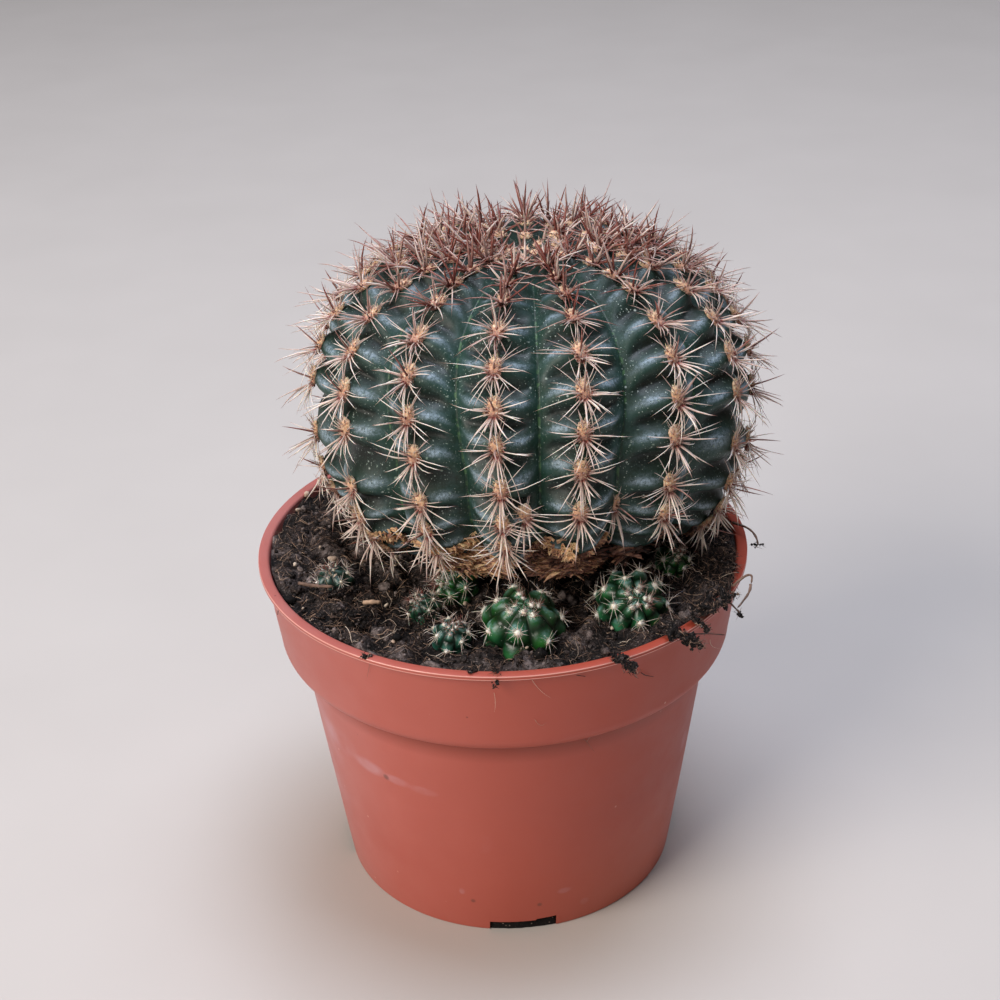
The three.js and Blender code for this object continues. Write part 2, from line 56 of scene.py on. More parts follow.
def ease(value, low, high):  # 0 below low, 1 above high, smooth between
    share = np.clip((value - low) / (high - low), 0, 1)
    return share * share * (3 - 2 * share)


def onRing(radius, angle, z):  # points by radius, angle and height
    return np.stack(np.broadcast_arrays(radius * np.cos(angle), radius * np.sin(angle), z), -1)


def unit(vectors):
    return vectors / np.maximum(np.linalg.norm(vectors, axis=-1, keepdims=True), 1e-9)


def sideAndUp(out, towards=(0, 0, 1.0)):  # sideways and upward directions on a skin that faces out
    side = unit(np.cross(towards, out))
    return side, np.cross(out, side)


def tonesFor(spread, count, each, draw):  # one random tone a thing, given to all its points
    return np.repeat(np.clip(draw.normal(*spread, count), 0, 1), each)


latticeValues = np.random.default_rng(5).random(4096)
latticePrimes = np.array([73856093, 19349663, 83492791])  # they spread neighbours over the values


def lumpy(points, size, seed=0):  # smooth lumps of this size, from -1 to 1
    cell = points / size + 37.7 * seed + 500
    corner = np.floor(cell).astype(np.int64)
    part = cell - corner
    part = part * part * (3 - 2 * part)
    total = np.zeros(points.shape[:-1])
    for step in np.ndindex(2, 2, 2):
        at = corner + step
        key = np.bitwise_xor.reduce(at * latticePrimes, axis=-1) % len(latticeValues)
        total += np.prod(np.where(step, part, 1 - part), axis=-1) * latticeValues[key]
    return 2 * total - 1


# Meshes

def gridFaces(rows, columns, first=0, closed=True):  # quads over rows of points
    row, column = np.meshgrid(np.arange(rows - 1), np.arange(columns - (not closed)), indexing="ij")
    here = first + row * columns + column
    beside = first + row * columns + (column + 1) % columns
    return np.stack([here, beside, beside + columns, here + columns], -1).reshape(-1, 4).tolist()


def turnedFaces(rows, columns):  # a skin over rings of points, with a point at each end
    faces = gridFaces(rows, columns, 1)
    last = 1 + (rows - 1) * columns
    faces += [[0, 1 + (column + 1) % columns, 1 + column] for column in range(columns)]
    faces += [[last + column, last + (column + 1) % columns, last + columns] for column in range(columns)]
    return faces


def sheetFaces(rows, columns):  # a thin sheet: a grid, the same grid behind it, and the edge between
    half = rows * columns
    faces = gridFaces(rows, columns, 0, False)
    faces += [[half + corner for corner in reversed(face)] for face in faces]
    border = list(range(columns)) + [row * columns + columns - 1 for row in range(1, rows)]
    border += list(range(half - 2, half - columns - 1, -1))
    border += [row * columns for row in range(rows - 2, 0, -1)]
    return faces + [[following, here, half + here, half + following]
                    for here, following in zip(border, border[1:] + border[:1])]


def rods(paths, radii, sides):  # closed rods along paths (rods, steps, 3), pointed at the far end
    count, steps = radii.shape
    rings = steps - 1
    along = unit(np.gradient(paths, axis=1))
    helper = np.where(np.abs(along[:, :1, 2:]) < 0.8, [0, 0, 1.0], [1.0, 0, 0])
    side = unit(np.cross(along, helper))
    up = np.cross(along, side)
    turn = tau * np.arange(sides) / sides
    ring = np.cos(turn)[:, None] * side[:, :-1, None] + np.sin(turn)[:, None] * up[:, :-1, None]
    ring = paths[:, :-1, None] + radii[:, :-1, None, None] * ring
    points = np.concatenate([ring.reshape(count, -1, 3), paths[:, -1:]], axis=1)
    perRod = points.shape[1]
    start = (np.arange(count) * perRod)[:, None, None]
    faces = []
    if rings > 1:
        faces += (np.array(gridFaces(rings, sides))[None] + start).reshape(-1, 4).tolist()
    tip = (rings - 1) * sides
    fan = [[tip + side, tip + (side + 1) % sides, perRod - 1] for side in range(sides)]
    faces += (np.array(fan)[None] + start).reshape(-1, 3).tolist()
    faces += (np.arange(sides)[::-1][None, None] + start).reshape(-1, sides).tolist()
    share = np.append(np.repeat(np.arange(rings), sides), rings) / rings
    return points.reshape(-1, 3), faces, np.tile(share, count), perRod


def lumps(centres, sizes, detail, rough, draw):  # rough closed grains, each turned its own way
    mesh = bpy.data.meshes.new("grain")
    shape = bmesh.new()
    bmesh.ops.create_icosphere(shape, subdivisions=detail, radius=1)
    shape.to_mesh(mesh)
    shape.free()
    sphere = np.array([vertex.co for vertex in mesh.vertices])
    sides = np.array([polygon.vertices for polygon in mesh.polygons])
    bpy.data.meshes.remove(mesh)
    count = len(centres)
    uneven = 1 + rough * (2 * draw.random((count, len(sphere))) - 1)
    local = sphere[None] * uneven[..., None] * sizes[:, None]
    spin = unit(draw.normal(size=(count, 4)))
    w, x, y, z = spin.T
    rotation = np.stack([
        1 - 2 * (y * y + z * z), 2 * (x * y - w * z), 2 * (x * z + w * y),
        2 * (x * y + w * z), 1 - 2 * (x * x + z * z), 2 * (y * z - w * x),
        2 * (x * z - w * y), 2 * (y * z + w * x), 1 - 2 * (x * x + y * y),
    ], -1).reshape(-1, 3, 3)
    points = np.einsum("nij,nvj->nvi", rotation, local) + centres[:, None]
    faces = (sides[None] + (np.arange(count) * len(sphere))[:, None, None]).reshape(-1, 3).tolist()
    return points.reshape(-1, 3), faces, len(sphere)


def together(*parts):  # several (points, faces) as one
    points, faces, first = [], [], 0
    for somePoints, someFaces in parts:
        points.append(somePoints)
        faces += [[first + corner for corner in face] for face in someFaces]
        first += len(somePoints)
    return np.concatenate(points), faces


def addPiece(name, points, faces, material, marks=None, replaced=(), crease=None):
    mesh = bpy.data.meshes.new(name)
    mesh.from_pydata((np.asarray(points) * mm).tolist(), [], faces)
    for mark, values in (marks or {}).items():
        layer = mesh.attributes.new(mark, "FLOAT", "POINT")
        layer.data.foreach_set("value", np.asarray(values, np.float32).ravel())
    mesh.shade_smooth()
    if crease:
        mesh.set_sharp_from_angle(angle=math.radians(crease))
    mesh.materials.append(material)
    piece = bpy.data.objects.new(name, mesh)
    scene.collection.objects.link(piece)
    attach(piece, "root")
    if replaced:
        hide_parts(*replaced)
    print(f"  {name}: {sum(len(face) - 2 for face in faces)} triangles")
    return piece


# Material tools

def colour(code):  # sRGB hex to linear
    channels = [int(code[place:place + 2], 16) / 255 for place in (1, 3, 5)]
    linear = [c / 12.92 if c <= 0.04045 else ((c + 0.055) / 1.055) ** 2.4 for c in channels]
    return (*linear, 1.0)


def per(size):  # texture scale for a feature of this many millimetres
    return 1 / (size * mm)


def addNode(tree, kind, inputs=None, stops=(), out=0, **settings):
    # adds one node and gives its output. An input is a value, a colour code, another node's output,
    # that output with the range it is stretched from and to, or a list of things to multiply
    node = tree.nodes.new("ShaderNode" + kind)
    for key, value in settings.items():
        setattr(node, key, value)
    for key, value in (inputs or {}).items():
        if isinstance(value, list):
            value = reduce(lambda first, second: addNode(
                tree, "Math", {0: first, 1: second}, operation="MULTIPLY", use_clamp=True), value)
        if isinstance(value, tuple) and isinstance(value[0], bpy.types.NodeSocket):
            value = addNode(tree, "MapRange", dict(enumerate(value)))
        if isinstance(value, bpy.types.NodeSocket):
            tree.links.new(value, node.inputs[key])
        else:
            node.inputs[key].default_value = colour(value) if isinstance(value, str) else value
    if stops:
        ramp = node.color_ramp.elements
        while len(ramp) < len(stops):
            ramp.new(0.5)
        for element, (place, code) in zip(ramp, stops):
            element.position = place
            element.color = colour(code)
    return node.outputs[out]


def newMaterial(name, marks=(), **fixed):  # fixed values go on the shader's own sockets
    material = bpy.data.materials.new(name)
    material.use_nodes = True
    tree = material.node_tree
    shader = tree.nodes["Principled BSDF"]
    for key, value in fixed.items():
        shader.inputs[key.replace("_", " ")].default_value = value
    place = addNode(tree, "TexCoord", out="Object")
    shares = [addNode(tree, "Attribute", out="Fac", attribute_name=mark) for mark in marks]
    return material, tree, place, *shares


def wire(tree, **patterns):  # to the shader's own sockets
    for key, pattern in patterns.items():
        tree.links.new(pattern, tree.nodes["Principled BSDF"].inputs[key.replace("_", " ")])


def paint(tree, base, *coats):  # colours laid one over another, each with the share that it covers
    for share, code in coats:
        base = addNode(tree, "Mix", {0: share, 6: base, 7: code}, out=2, data_type="RGBA")
    return base


def spots(tree, place, spacing, size, share):  # soft dots: 1 inside, on this share of the cells
    distance = addNode(tree, "TexVoronoi", {"Vector": place, "Scale": per(spacing)}, out="Distance")
    red = addNode(tree, "SeparateColor", {0: distance.node.outputs["Color"]})
    chosen = addNode(tree, "Math", {0: red, 1: share}, operation="LESS_THAN")
    return addNode(tree, "Math", {0: (distance, size / spacing, 0.4 * size / spacing), 1: chosen},
                   operation="MULTIPLY")


def noiseOf(place, size, detail=3.0, rough=0.55):  # inputs of noise with lumps of a size in millimetres
    return {"Vector": place, "Scale": per(size), "Detail": detail, "Roughness": rough}


def grainy(tree, place, pattern, *stretch):  # noise with the contrast that its material has
    noise = addNode(tree, "TexNoise", noiseOf(place, *pattern))
    return addNode(tree, "MapRange", dict(enumerate((noise, *stretch))))


def relief(tree, place, *layers):  # noise as fine relief: pattern, depth in millimetres, strength
    under = None
    for pattern, depth, strength in layers:
        inputs = {"Strength": strength, "Distance": depth * mm}
        inputs["Height"] = addNode(tree, "TexNoise", noiseOf(place, *pattern))
        if under:
            inputs["Normal"] = under
        under = addNode(tree, "Bump", inputs)
    return under


def toned(tree, tone, variation, stops):  # the tone marked on a piece, varied by a pattern, as a colour
    varied = addNode(tree, "Math", {0: tone, 1: variation}, operation="ADD", use_clamp=True)
    return addNode(tree, "ValToRGB", {0: varied}, stops)


# Camera, at the photograph's height, distance and slight tilt

photoCamera = {
    "target": (-0.33, 0.0, 99.07),
    "distance": 439.0,
    "elevation": 28.68,
    "roll": -1.57,
    "lens": 64.8,
    "sensor": 36.0,
}


def setCamera():
    p = photoCamera
    elevation, roll = math.radians(p["elevation"]), math.radians(p["roll"])
    back = Vector((0, -math.cos(elevation), math.sin(elevation)))
    level = Vector((1, 0, 0))
    upright = level.cross(-back)
    right = level * math.cos(roll) + upright * math.sin(roll)
    up = upright * math.cos(roll) - level * math.sin(roll)
    data = bpy.data.cameras.new("photoCamera")
    data.lens = p["lens"]
    data.sensor_width = p["sensor"]
    data.clip_start, data.clip_end = 0.01, 20
    camera = bpy.data.objects.new("photoCamera", data)
    spot = (Vector(p["target"]) + back * p["distance"]) * mm
    camera.matrix_world = Matrix((right, up, back)).transposed().to_4x4()
    camera.location = spot
    scene.collection.objects.link(camera)
    scene.camera = camera


# Studio: a pale floor, a big window light from the left, a cooler soft one above, weak fill

studio = {
    "window": {"at": (-1130, -890, 1010), "size": 1000, "watts": 28.5, "tint": "#FFF6EC"},
    "ceiling": {"at": (100, 190, 1480), "size": 850, "watts": 22.0, "tint": "#E8EEFF"},
    "fill": {"at": (900, -1150, 420), "size": 900, "watts": 0.5, "tint": "#FFD8C4"},
    "aim": (0, 0, 90),
    "world": "#E6E2E0",
    "worldStrength": 0.12,
    "floorSize": 3300,
}


def setStudio():
    for name in ("window", "ceiling", "fill"):
        p = studio[name]
        data = bpy.data.lights.new(name, "AREA")
        data.shape = "SQUARE"
        data.size = p["size"] * mm
        data.energy = p["watts"]
        data.color = colour(p["tint"])[:3]
        lamp = bpy.data.objects.new(name, data)
        lamp.location = Vector(p["at"]) * mm
        lamp.rotation_mode = "QUATERNION"
        lamp.rotation_quaternion = (Vector(studio["aim"]) - Vector(p["at"])).to_track_quat("-Z", "Y")
        scene.collection.objects.link(lamp)
    world = bpy.data.worlds.new("studioAir")
    world.use_nodes = True
    air = world.node_tree.nodes["Background"]
    air.inputs["Color"].default_value = colour(studio["world"])
    air.inputs["Strength"].default_value = studio["worldStrength"]
    scene.world = world
    scene.view_settings.view_transform = "Standard"


def paintedFloor():  # matt paint on board: pale, with a faint roller texture
    material, tree, place = newMaterial("matt painted floor", Roughness=0.75, IOR=1.45)
    wire(tree, Base_Color=paint(tree, "#BFBAB5", (grainy(tree, place, (60, 2), 0, 1), "#C6C1BC")),
         Normal=relief(tree, place, ((1.2, 3), 0.05, 0.2)))
    return material


def makeFloor():
    half = studio["floorSize"] / 2
    mesh = bpy.data.meshes.new("floor")
    corners = [(-half, -half, 0), (half, -half, 0), (half, half, 0), (-half, half, 0)]
    mesh.from_pydata([Vector(corner) * mm for corner in corners], [], [(0, 1, 2, 3)])
    mesh.materials.append(paintedFloor())
    floor = bpy.data.objects.new("floor", mesh)
    scene.collection.objects.link(floor)


print("camera and studio")
setCamera()
setStudio()
makeFloor()


# Nursery pot

pot = {
    "rimRadius": 60.0,
    "height": 88.0,
    "lipHeight": 1.15,
    "bead": 0.26,
    "collarTop": 58.5,
    "collarBottom": 56.0,
    "collarUnderside": 63.4,
    "collarRound": 4.7,
    "bodyTop": 51.0,
    "foot": 42.5,
    "footRound": 0.5,
    "footRing": 3.6,
    "pad": 21.0,
    "channel": 2.4,
    "floor": 1.4,
    "wall": 1.2,
    "innerLip": 1.6,
    "notchWidth": 16.6,
    "notchHeight": 2.8,
    "notchStepWidth": 4.8,
    "notchStepHeight": 3.5,
    "notchAzimuth": 3.4,
    "notches": 4,
    "cutReach": 6.0,
    "drainRadius": 3.2,
    "drainCircle": 30.5,
    "drainSides": 32,
    "columns": 240,
    "unevenness": 0.16,
    "bulgeLength": 34,
    "evenFoot": (4, 30),  # heights between which the unevenness starts and ends
    "evenRim": (80, 86),
    "meanRadius": 55,
    "sharpAngle": 38,
}


def arc(centreR, centreZ, radiusR, radiusZ, start, end, steps):  # profile points round a corner
    angles = [math.radians(mix(start, end, step / steps)) for step in range(steps + 1)]
    return [(centreR + radiusR * math.cos(a), centreZ + radiusZ * math.sin(a)) for a in angles]


def wallInside(z):  # inner radius of the pot at a height
    p = pot
    shoulder = p["collarUnderside"] + p["collarRound"]
    lipBottom = p["height"] - p["innerLip"]
    if z > shoulder:
        share = min((z - shoulder) / (lipBottom - shoulder), 1)
        return mix(p["collarBottom"], p["collarTop"], share) - p["wall"]
    return mix(p["foot"], p["bodyTop"], min(z / p["collarUnderside"], 1)) - p["wall"]


def potProfile():
    p = pot
    ringInside = p["foot"] - p["footRing"]
    floorTop = p["channel"] + p["floor"]
    shoulder = p["collarUnderside"] + p["collarRound"]
    lipBottom = p["height"] - p["lipHeight"]
    bead = p["bead"]
    collarReach = p["collarBottom"] - p["bodyTop"]
    outside = [
        (p["pad"] - 1, 0), (p["pad"] - 0.6, 0.15),
        (p["pad"] + 0.4, p["channel"] - 0.3), (p["pad"] + 0.9, p["channel"]),
        (ringInside - 1.2, p["channel"]), (ringInside - 0.6, p["channel"] - 0.4), (ringInside, 0),
    ]
    outside += arc(p["foot"] - p["footRound"], p["footRound"], p["footRound"], p["footRound"], -90, 0, 4)
    for share in (0.15, 0.3, 0.45, 0.6, 0.75, 0.88, 0.97):
        outside.append((mix(p["foot"], p["bodyTop"], share), p["collarUnderside"] * share))
    outside += [(p["bodyTop"] + out, p["collarUnderside"] - down) for out, down in ((0.1, 0.7), (0.35, 0.1))]
    outside += arc(p["bodyTop"], shoulder, collarReach, p["collarRound"], -78, 0, 9)
    for share in (0.2, 0.4, 0.6, 0.8, 0.95):
        outside.append((mix(p["collarBottom"], p["collarTop"], share), mix(shoulder, lipBottom, share)))
    outside += [(p["collarTop"] + 0.15, lipBottom - 0.12), (p["collarTop"] + 0.5, lipBottom - 0.02)]
    lowBead = arc(p["rimRadius"] - bead, lipBottom + bead, bead, bead, -90, 50, 5)
    topBead = arc(p["rimRadius"] - bead, p["height"] - bead, bead, bead, -50, 90, 5)
    rimInside = arc(p["collarTop"] - 0.5, p["height"] - 0.7, 0.7, 0.7, 90, 180, 4)
    inside = [(wallInside(z), z) for z in (85.8, 80, 74, shoulder + 0.5)]
    inside += [(wallInside(p["collarUnderside"]) + 2.2, p["collarUnderside"] + 1.7)]
    inside += [(wallInside(z), z) for z in (p["collarUnderside"] - 1, 40, 20, floorTop + 1)]
    inside += [(ringInside - 1, floorTop), (p["pad"] - 0.5, floorTop), (p["pad"] - 2, p["floor"])]
    return outside + lowBead + topBead + rimInside + inside


def potCutters():  # notches under the foot and drain holes, as closed boxes and prisms
    p = pot
    parts = []
    for notch in range(p["notches"]):
        turn = math.radians(p["notchAzimuth"] + notch * 360 / p["notches"])
        spin = np.array(Matrix.Rotation(turn, 3, "Z"))
        half = p["notchWidth"] / 2
        step = half - p["notchStepWidth"]
        outline = [(-half, -1), (half, -1), (half + 0.2, p["notchStepHeight"]),
                   (step, p["notchStepHeight"] - 0.2), (step - 0.3, p["notchHeight"] + 0.1),
                   (-half + 0.1, p["notchHeight"])]
        near, far = -p["foot"] - p["cutReach"], -p["foot"] + p["cutReach"]
        block = np.array([(x, y, z) for y in (near, far) for x, z in outline])
        count = len(outline)
        ends = [list(range(count)), list(range(2 * count - 1, count - 1, -1))]
        parts.append((block @ spin.T, [face[::-1] for face in gridFaces(2, count)] + ends))
        sides = p["drainSides"]
        angles = tau * np.arange(sides) / sides
        circle = p["drainRadius"] * np.stack([np.cos(angles), np.sin(angles)], -1) - [0, p["drainCircle"]]
        tube = np.concatenate([np.column_stack([circle, np.full(sides, z)]) for z in (-2.0, 6.0)])
        faces = gridFaces(2, sides) + [list(range(sides))[::-1], list(range(sides, 2 * sides))]
        parts.append((tube @ spin.T, faces))
    return together(*parts)


paleSmears = [  # centre, half lengths and strength of pale smears: lime left by dried drips, and the broad one low on the left, which only makes that side paler
    ((-40.5, -26, 48.5), (8, 9, 4.5), 0.75), ((-33.5, -35, 46.5), (6, 6, 2.4), 0.8),
    ((-27, -40.5, 45.8), (5, 4, 1.6), 0.6), ((-20.5, -44, 45.2), (5, 3, 1.5), 0.7),
    ((-48, -18, 34), (9, 20, 34), 0.55), ((13, -42.4, 12), (2.2, 2, 1.2), 0.35),
    ((18, -39.6, 6), (1.4, 2, 1.4), 0.35), ((45, -20, 38), (2, 3, 6), 0.6), ((-6, -44, 31), (3, 3, 5), 0.35),
    ((-12.3, -42.6, 13), (0.9, 1.6, 1.4), 1.5), ((30, 38, 52), (8, 8, 5), 0.6),
    ((-14, 45, 30), (9, 5, 4), 0.5), ((47, 12, 20), (4, 9, 5), 0.5),
]
darkSpots = [  # centre and half length
    ((-29.4, -38.8, 45.6), 1.2), ((-35.6, -34.6, 55.5), 0.5), ((-6.5, -56, 73.4), 0.4),
    ((6.7, -43, 8.5), 0.9), ((-9.6, -42.6, 10), 0.9), ((29.5, -40, 62.6), 0.5), ((1.2, -42.2, 29), 0.35),
]


def softSpot(tree, place, centre, reach):  # 1 at the centre, 0 at this reach from it
    inputs = {"Vector": place, "Location": Vector(centre) * mm, "Scale": Vector(reach) * mm}
    local = addNode(tree, "Mapping", inputs, vector_type="TEXTURE")
    return addNode(tree, "TexGradient", {"Vector": local}, out="Fac", gradient_type="SPHERICAL")


def mouldedPolypropylene():  # terracotta-coloured plastic: satin, slightly waxy
    material, tree, place, edge = newMaterial("moulded polypropylene", ["edge"], IOR=1.49,
                                              Subsurface_Weight=0.04, Subsurface_Scale=0.002)
    sideways = addNode(tree, "SeparateXYZ", {0: place})
    height = sideways.node.outputs[2]
    # painted light and shade: paler on the lit left side, deeper and redder towards the shaded right
    paintedSideLight = addNode(tree, "ValToRGB", {0: (sideways, -50 * mm, 50 * mm)}, [
        (0.0, "#B3706B"), (0.22, "#B55F53"), (0.5, "#AE5242"), (0.8, "#AB4632"), (1.0, "#A8412A")])
    # painted shadow: a dark band just under the collar's underside
    collarShadow = addNode(tree, "Math", {0: (height, 57 * mm, 62.5 * mm), 1: (height, 63.3 * mm, 64.2 * mm)},
                          operation="SUBTRACT", use_clamp=True)
    base = paint(
        tree, paintedSideLight,
        (grainy(tree, place, (30, 3), 0.35, 0.65, 0, 0.5), "#A84F41"),
        ([collarShadow, 0.85], "#84321F"),
        ([(height, 34 * mm, 4 * mm), (sideways, 0, 34 * mm), 0.6], "#D2745F"),  # painted light, paler low on the right
    )
    smear = grainy(tree, place, (12, 3, 0.5), 0.3, 0.62)
    for centre, reach, strength in paleSmears:
        lime = [(softSpot(tree, place, centre, reach), 0, 0.5, 0, strength), smear, 0.75]
        base = paint(tree, base, (lime, "#C0949B"))
    base = paint(tree, base, ([spots(tree, place, 6, 0.4, 0.3), 0.5], "#DDB0A0"),
                 ([spots(tree, place, 9, 0.35, 0.2), 0.6], "#4A241B"))
    for centre, size in darkSpots:
        share = (softSpot(tree, place, centre, (size, size, size)), 0.1, 0.6, 0, 0.6)
        base = paint(tree, base, (share, "#5A3A33"))
    base = paint(tree, base, ([edge, 0.7], "#F4BCAF"))  # painted highlight: the lip's rounded edges pale, and rubbed smoother
    wire(tree, Base_Color=base,
         Roughness=paint(tree, grainy(tree, place, (8, 4), 0.3, 0.7, 0.44, 0.54), (edge, "#4A4A4A")),
         Normal=relief(tree, place, ((14, 2), 0.12, 0.25), ((0.5, 2), 0.02, 0.35)))
    return material


def makePot():
    columns = pot["columns"]
    angles = tau * np.arange(columns) / columns
    profile = np.array(potProfile())
    shell = onRing(profile[:, :1], angles, profile[:, 1:]).reshape(-1, 3)
    start, end = pot["evenRim"]
    bulge = pot["unevenness"] * lumpy(shell * [1, 1, 0.6], pot["bulgeLength"], 2)
    bulge = bulge * ease(shell[:, 2], *pot["evenFoot"]) * ease(-shell[:, 2], -end, -start)
    shell[:, :2] += shell[:, :2] / pot["meanRadius"] * bulge[:, None]
    points = np.concatenate([[[0, 0, 0]], shell, [[0, 0, pot["floor"]]]])
    atRim = profile[:, 0] > pot["rimRadius"] - 0.1
    halfLip = pot["lipHeight"] / 2
    corner = np.abs(np.abs(profile[:, 1] - pot["height"] + halfLip) - halfLip) < 0.35
    marks = {"edge": np.concatenate([[0], np.repeat(np.where(atRim & corner, 1.0, 0.0), columns), [0]])}
    piece = addPiece("nurseryPot", points, turnedFaces(len(profile), columns), mouldedPolypropylene(),
                     marks, ["pot"])
    cutPoints, cutFaces = potCutters()
    cutMesh = bpy.data.meshes.new("cutters")
    cutMesh.from_pydata((cutPoints * mm).tolist(), [], cutFaces)
    cutter = bpy.data.objects.new("cutters", cutMesh)
    scene.collection.objects.link(cutter)
    cut = piece.modifiers.new("openings", "BOOLEAN")
    cut.operation, cut.solver, cut.object = "DIFFERENCE", "EXACT", cutter
    ready = piece.evaluated_get(bpy.context.evaluated_depsgraph_get())
    whole = piece.data
    piece.data = bpy.data.meshes.new_from_object(ready)
    piece.modifiers.clear()
    bpy.data.objects.remove(cutter)
    bpy.data.meshes.remove(whole)
    piece.data.name = "nurseryPot"
    piece.data.set_sharp_from_angle(angle=math.radians(pot["sharpAngle"]))
    return piece


print("pot")
makePot()


# Peat: the bed with its lumps, then loose crumbs and fibres

peat = {
    "level": 86.2,
    "heaps": [(49, -4, 3.6, 12), (40, 30, 3.0, 17), (-18, 46, 1.6, 15), (-30, -42, 0.8, 9)],
    "lump": 0.55,
    "lumpLength": 9.0,
    "fine": [(5.5, 1.0), (2.6, 0.85), (1.3, 0.5), (0.7, 0.3)],
    "banks": [  # peat against the rim
        (51, -27, 2.2, 9), (41, -41, 1.4, 7), (55, -8, 1.0, 8), (25, -52, 0.7, 5),
        (-53, -12, 1.5, 9), (-53, 8, 1.7, 10), (-46, 26, 1.7, 10), (-38, -40, 0.7, 8),
    ],
    "shoulder": (51.5, 57.5),  # where the heap falls off towards the wall
    "edgeLevel": 87.3,
    "columns": 370,
    "rings": 100,
    "ringSpacing": 0.9,  # below 1: rings closer together at the rim
    "wallHeights": (40.0, 62.4, 69.7, 80.0),
    "footRise": 1.4,
    "gap": 0.3,
}


def peatHeight(x, y):  # the bed as the solid has it
    k = tau / peat["lumpLength"]
    wave = np.sin(k * x + 1.3 * np.sin(k * 0.43 * y)) + np.sin(k * 0.81 * y + 1.1 * np.sin(k * 0.6 * x + 2))
    z = peat["level"] + peat["lump"] * wave
    for heapX, heapY, rise, spread in peat["heaps"]:
        z = z + rise * np.exp(-((x - heapX) ** 2 + (y - heapY) ** 2) / spread ** 2)
    return z


def peatLumps(x, y):
    flat = np.stack([x, y, np.zeros_like(x)], -1)
    return sum(depth * lumpy(flat, size, seed) for seed, (size, depth) in enumerate(peat["fine"]))


def peatBanks(x, y):
    total = -ease(np.hypot(x, y), *peat["shoulder"]) * np.maximum(peatHeight(x, y) - peat["edgeLevel"], 0)
    for bankX, bankY, rise, spread in peat["banks"]:
        total = total + rise * np.exp(-((x - bankX) ** 2 + (y - bankY) ** 2) / spread ** 2)
    return total


def peatSurface(x, y):
    return peatHeight(x, y) + peatBanks(x, y) + peatLumps(x, y)


def moistPeat():  # milled sphagnum peat, damp: brown-black, matt, with paler dry fibres and painted light on the tops of the lumps
    material, tree, place, rise = newMaterial("moist peat", ["rise"], IOR=1.4, Specular_IOR_Level=0.35)
    high = addNode(tree, "MapRange", {0: rise, 1: -1.4, 2: 1.4})
    # the tone follows the rise mark; on the bed that is the lumps' height, so hollows get painted shade and
    # tops painted light
    base = paint(
        tree, addNode(tree, "ValToRGB", {0: high}, [
            (0.0, "#050404"), (0.4, "#171312"), (0.7, "#443936"), (1.0, "#968884")]),
        (grainy(tree, place, (1.4, 6, 0.8), 0.42, 0.58, 0, 0.85), "#0E0A09"),
        ([grainy(tree, place, (0.45, 4, 0.8), 0.55, 0.66), high, 0.7], "#B0A4A1"),
        ([spots(tree, place, 0.9, 0.22, 0.28), 0.6], "#A28F84"),
    )
    wire(tree, Base_Color=base, Roughness=grainy(tree, place, (3, 3), 0.3, 0.7, 0.6, 0.95),
         Normal=relief(tree, place, ((1.1, 5, 0.75), 0.5, 0.8), ((0.35, 3, 0.7), 0.2, 0.6)))
    return material


def makePeatBed(material):
    columns, rings = peat["columns"], peat["rings"]
    angles = tau * np.arange(columns) / columns
    edge = wallInside(peat["level"]) - peat["gap"]
    floorTop = pot["channel"] + pot["floor"] + peat["gap"]
    walls = [(pot["foot"] - pot["footRing"] - 1, floorTop)]
    walls += [(wallInside(z) - peat["gap"], z)
              for z in (floorTop + peat["footRise"], *peat["wallHeights"])]
    rows, rises = [], []
    for radius, z in walls:
        rows.append(onRing(radius, angles, z))
        rises.append(np.zeros(columns))
    for radius in edge * (1 - np.arange(rings) / rings) ** peat["ringSpacing"]:
        x, y = radius * np.cos(angles), radius * np.sin(angles)
        rise = peatLumps(x, y)
        rows.append(onRing(radius, angles, peatHeight(x, y) + peatBanks(x, y) + rise))
        rises.append(rise)
    middle = np.array([[0, 0, float(peatSurface(np.zeros(1), np.zeros(1))[0])]])
    points = np.concatenate([[[0, 0, floorTop]], np.concatenate(rows), middle])
    # the lumps' height is kept as the rise mark, which the peat's colour turns into painted shade and light
    marks = {"rise": np.concatenate([[0], np.concatenate(rises), [0]])}
    addPiece("peatBed", points, turnedFaces(len(rows), columns), material, marks, ["soil"])


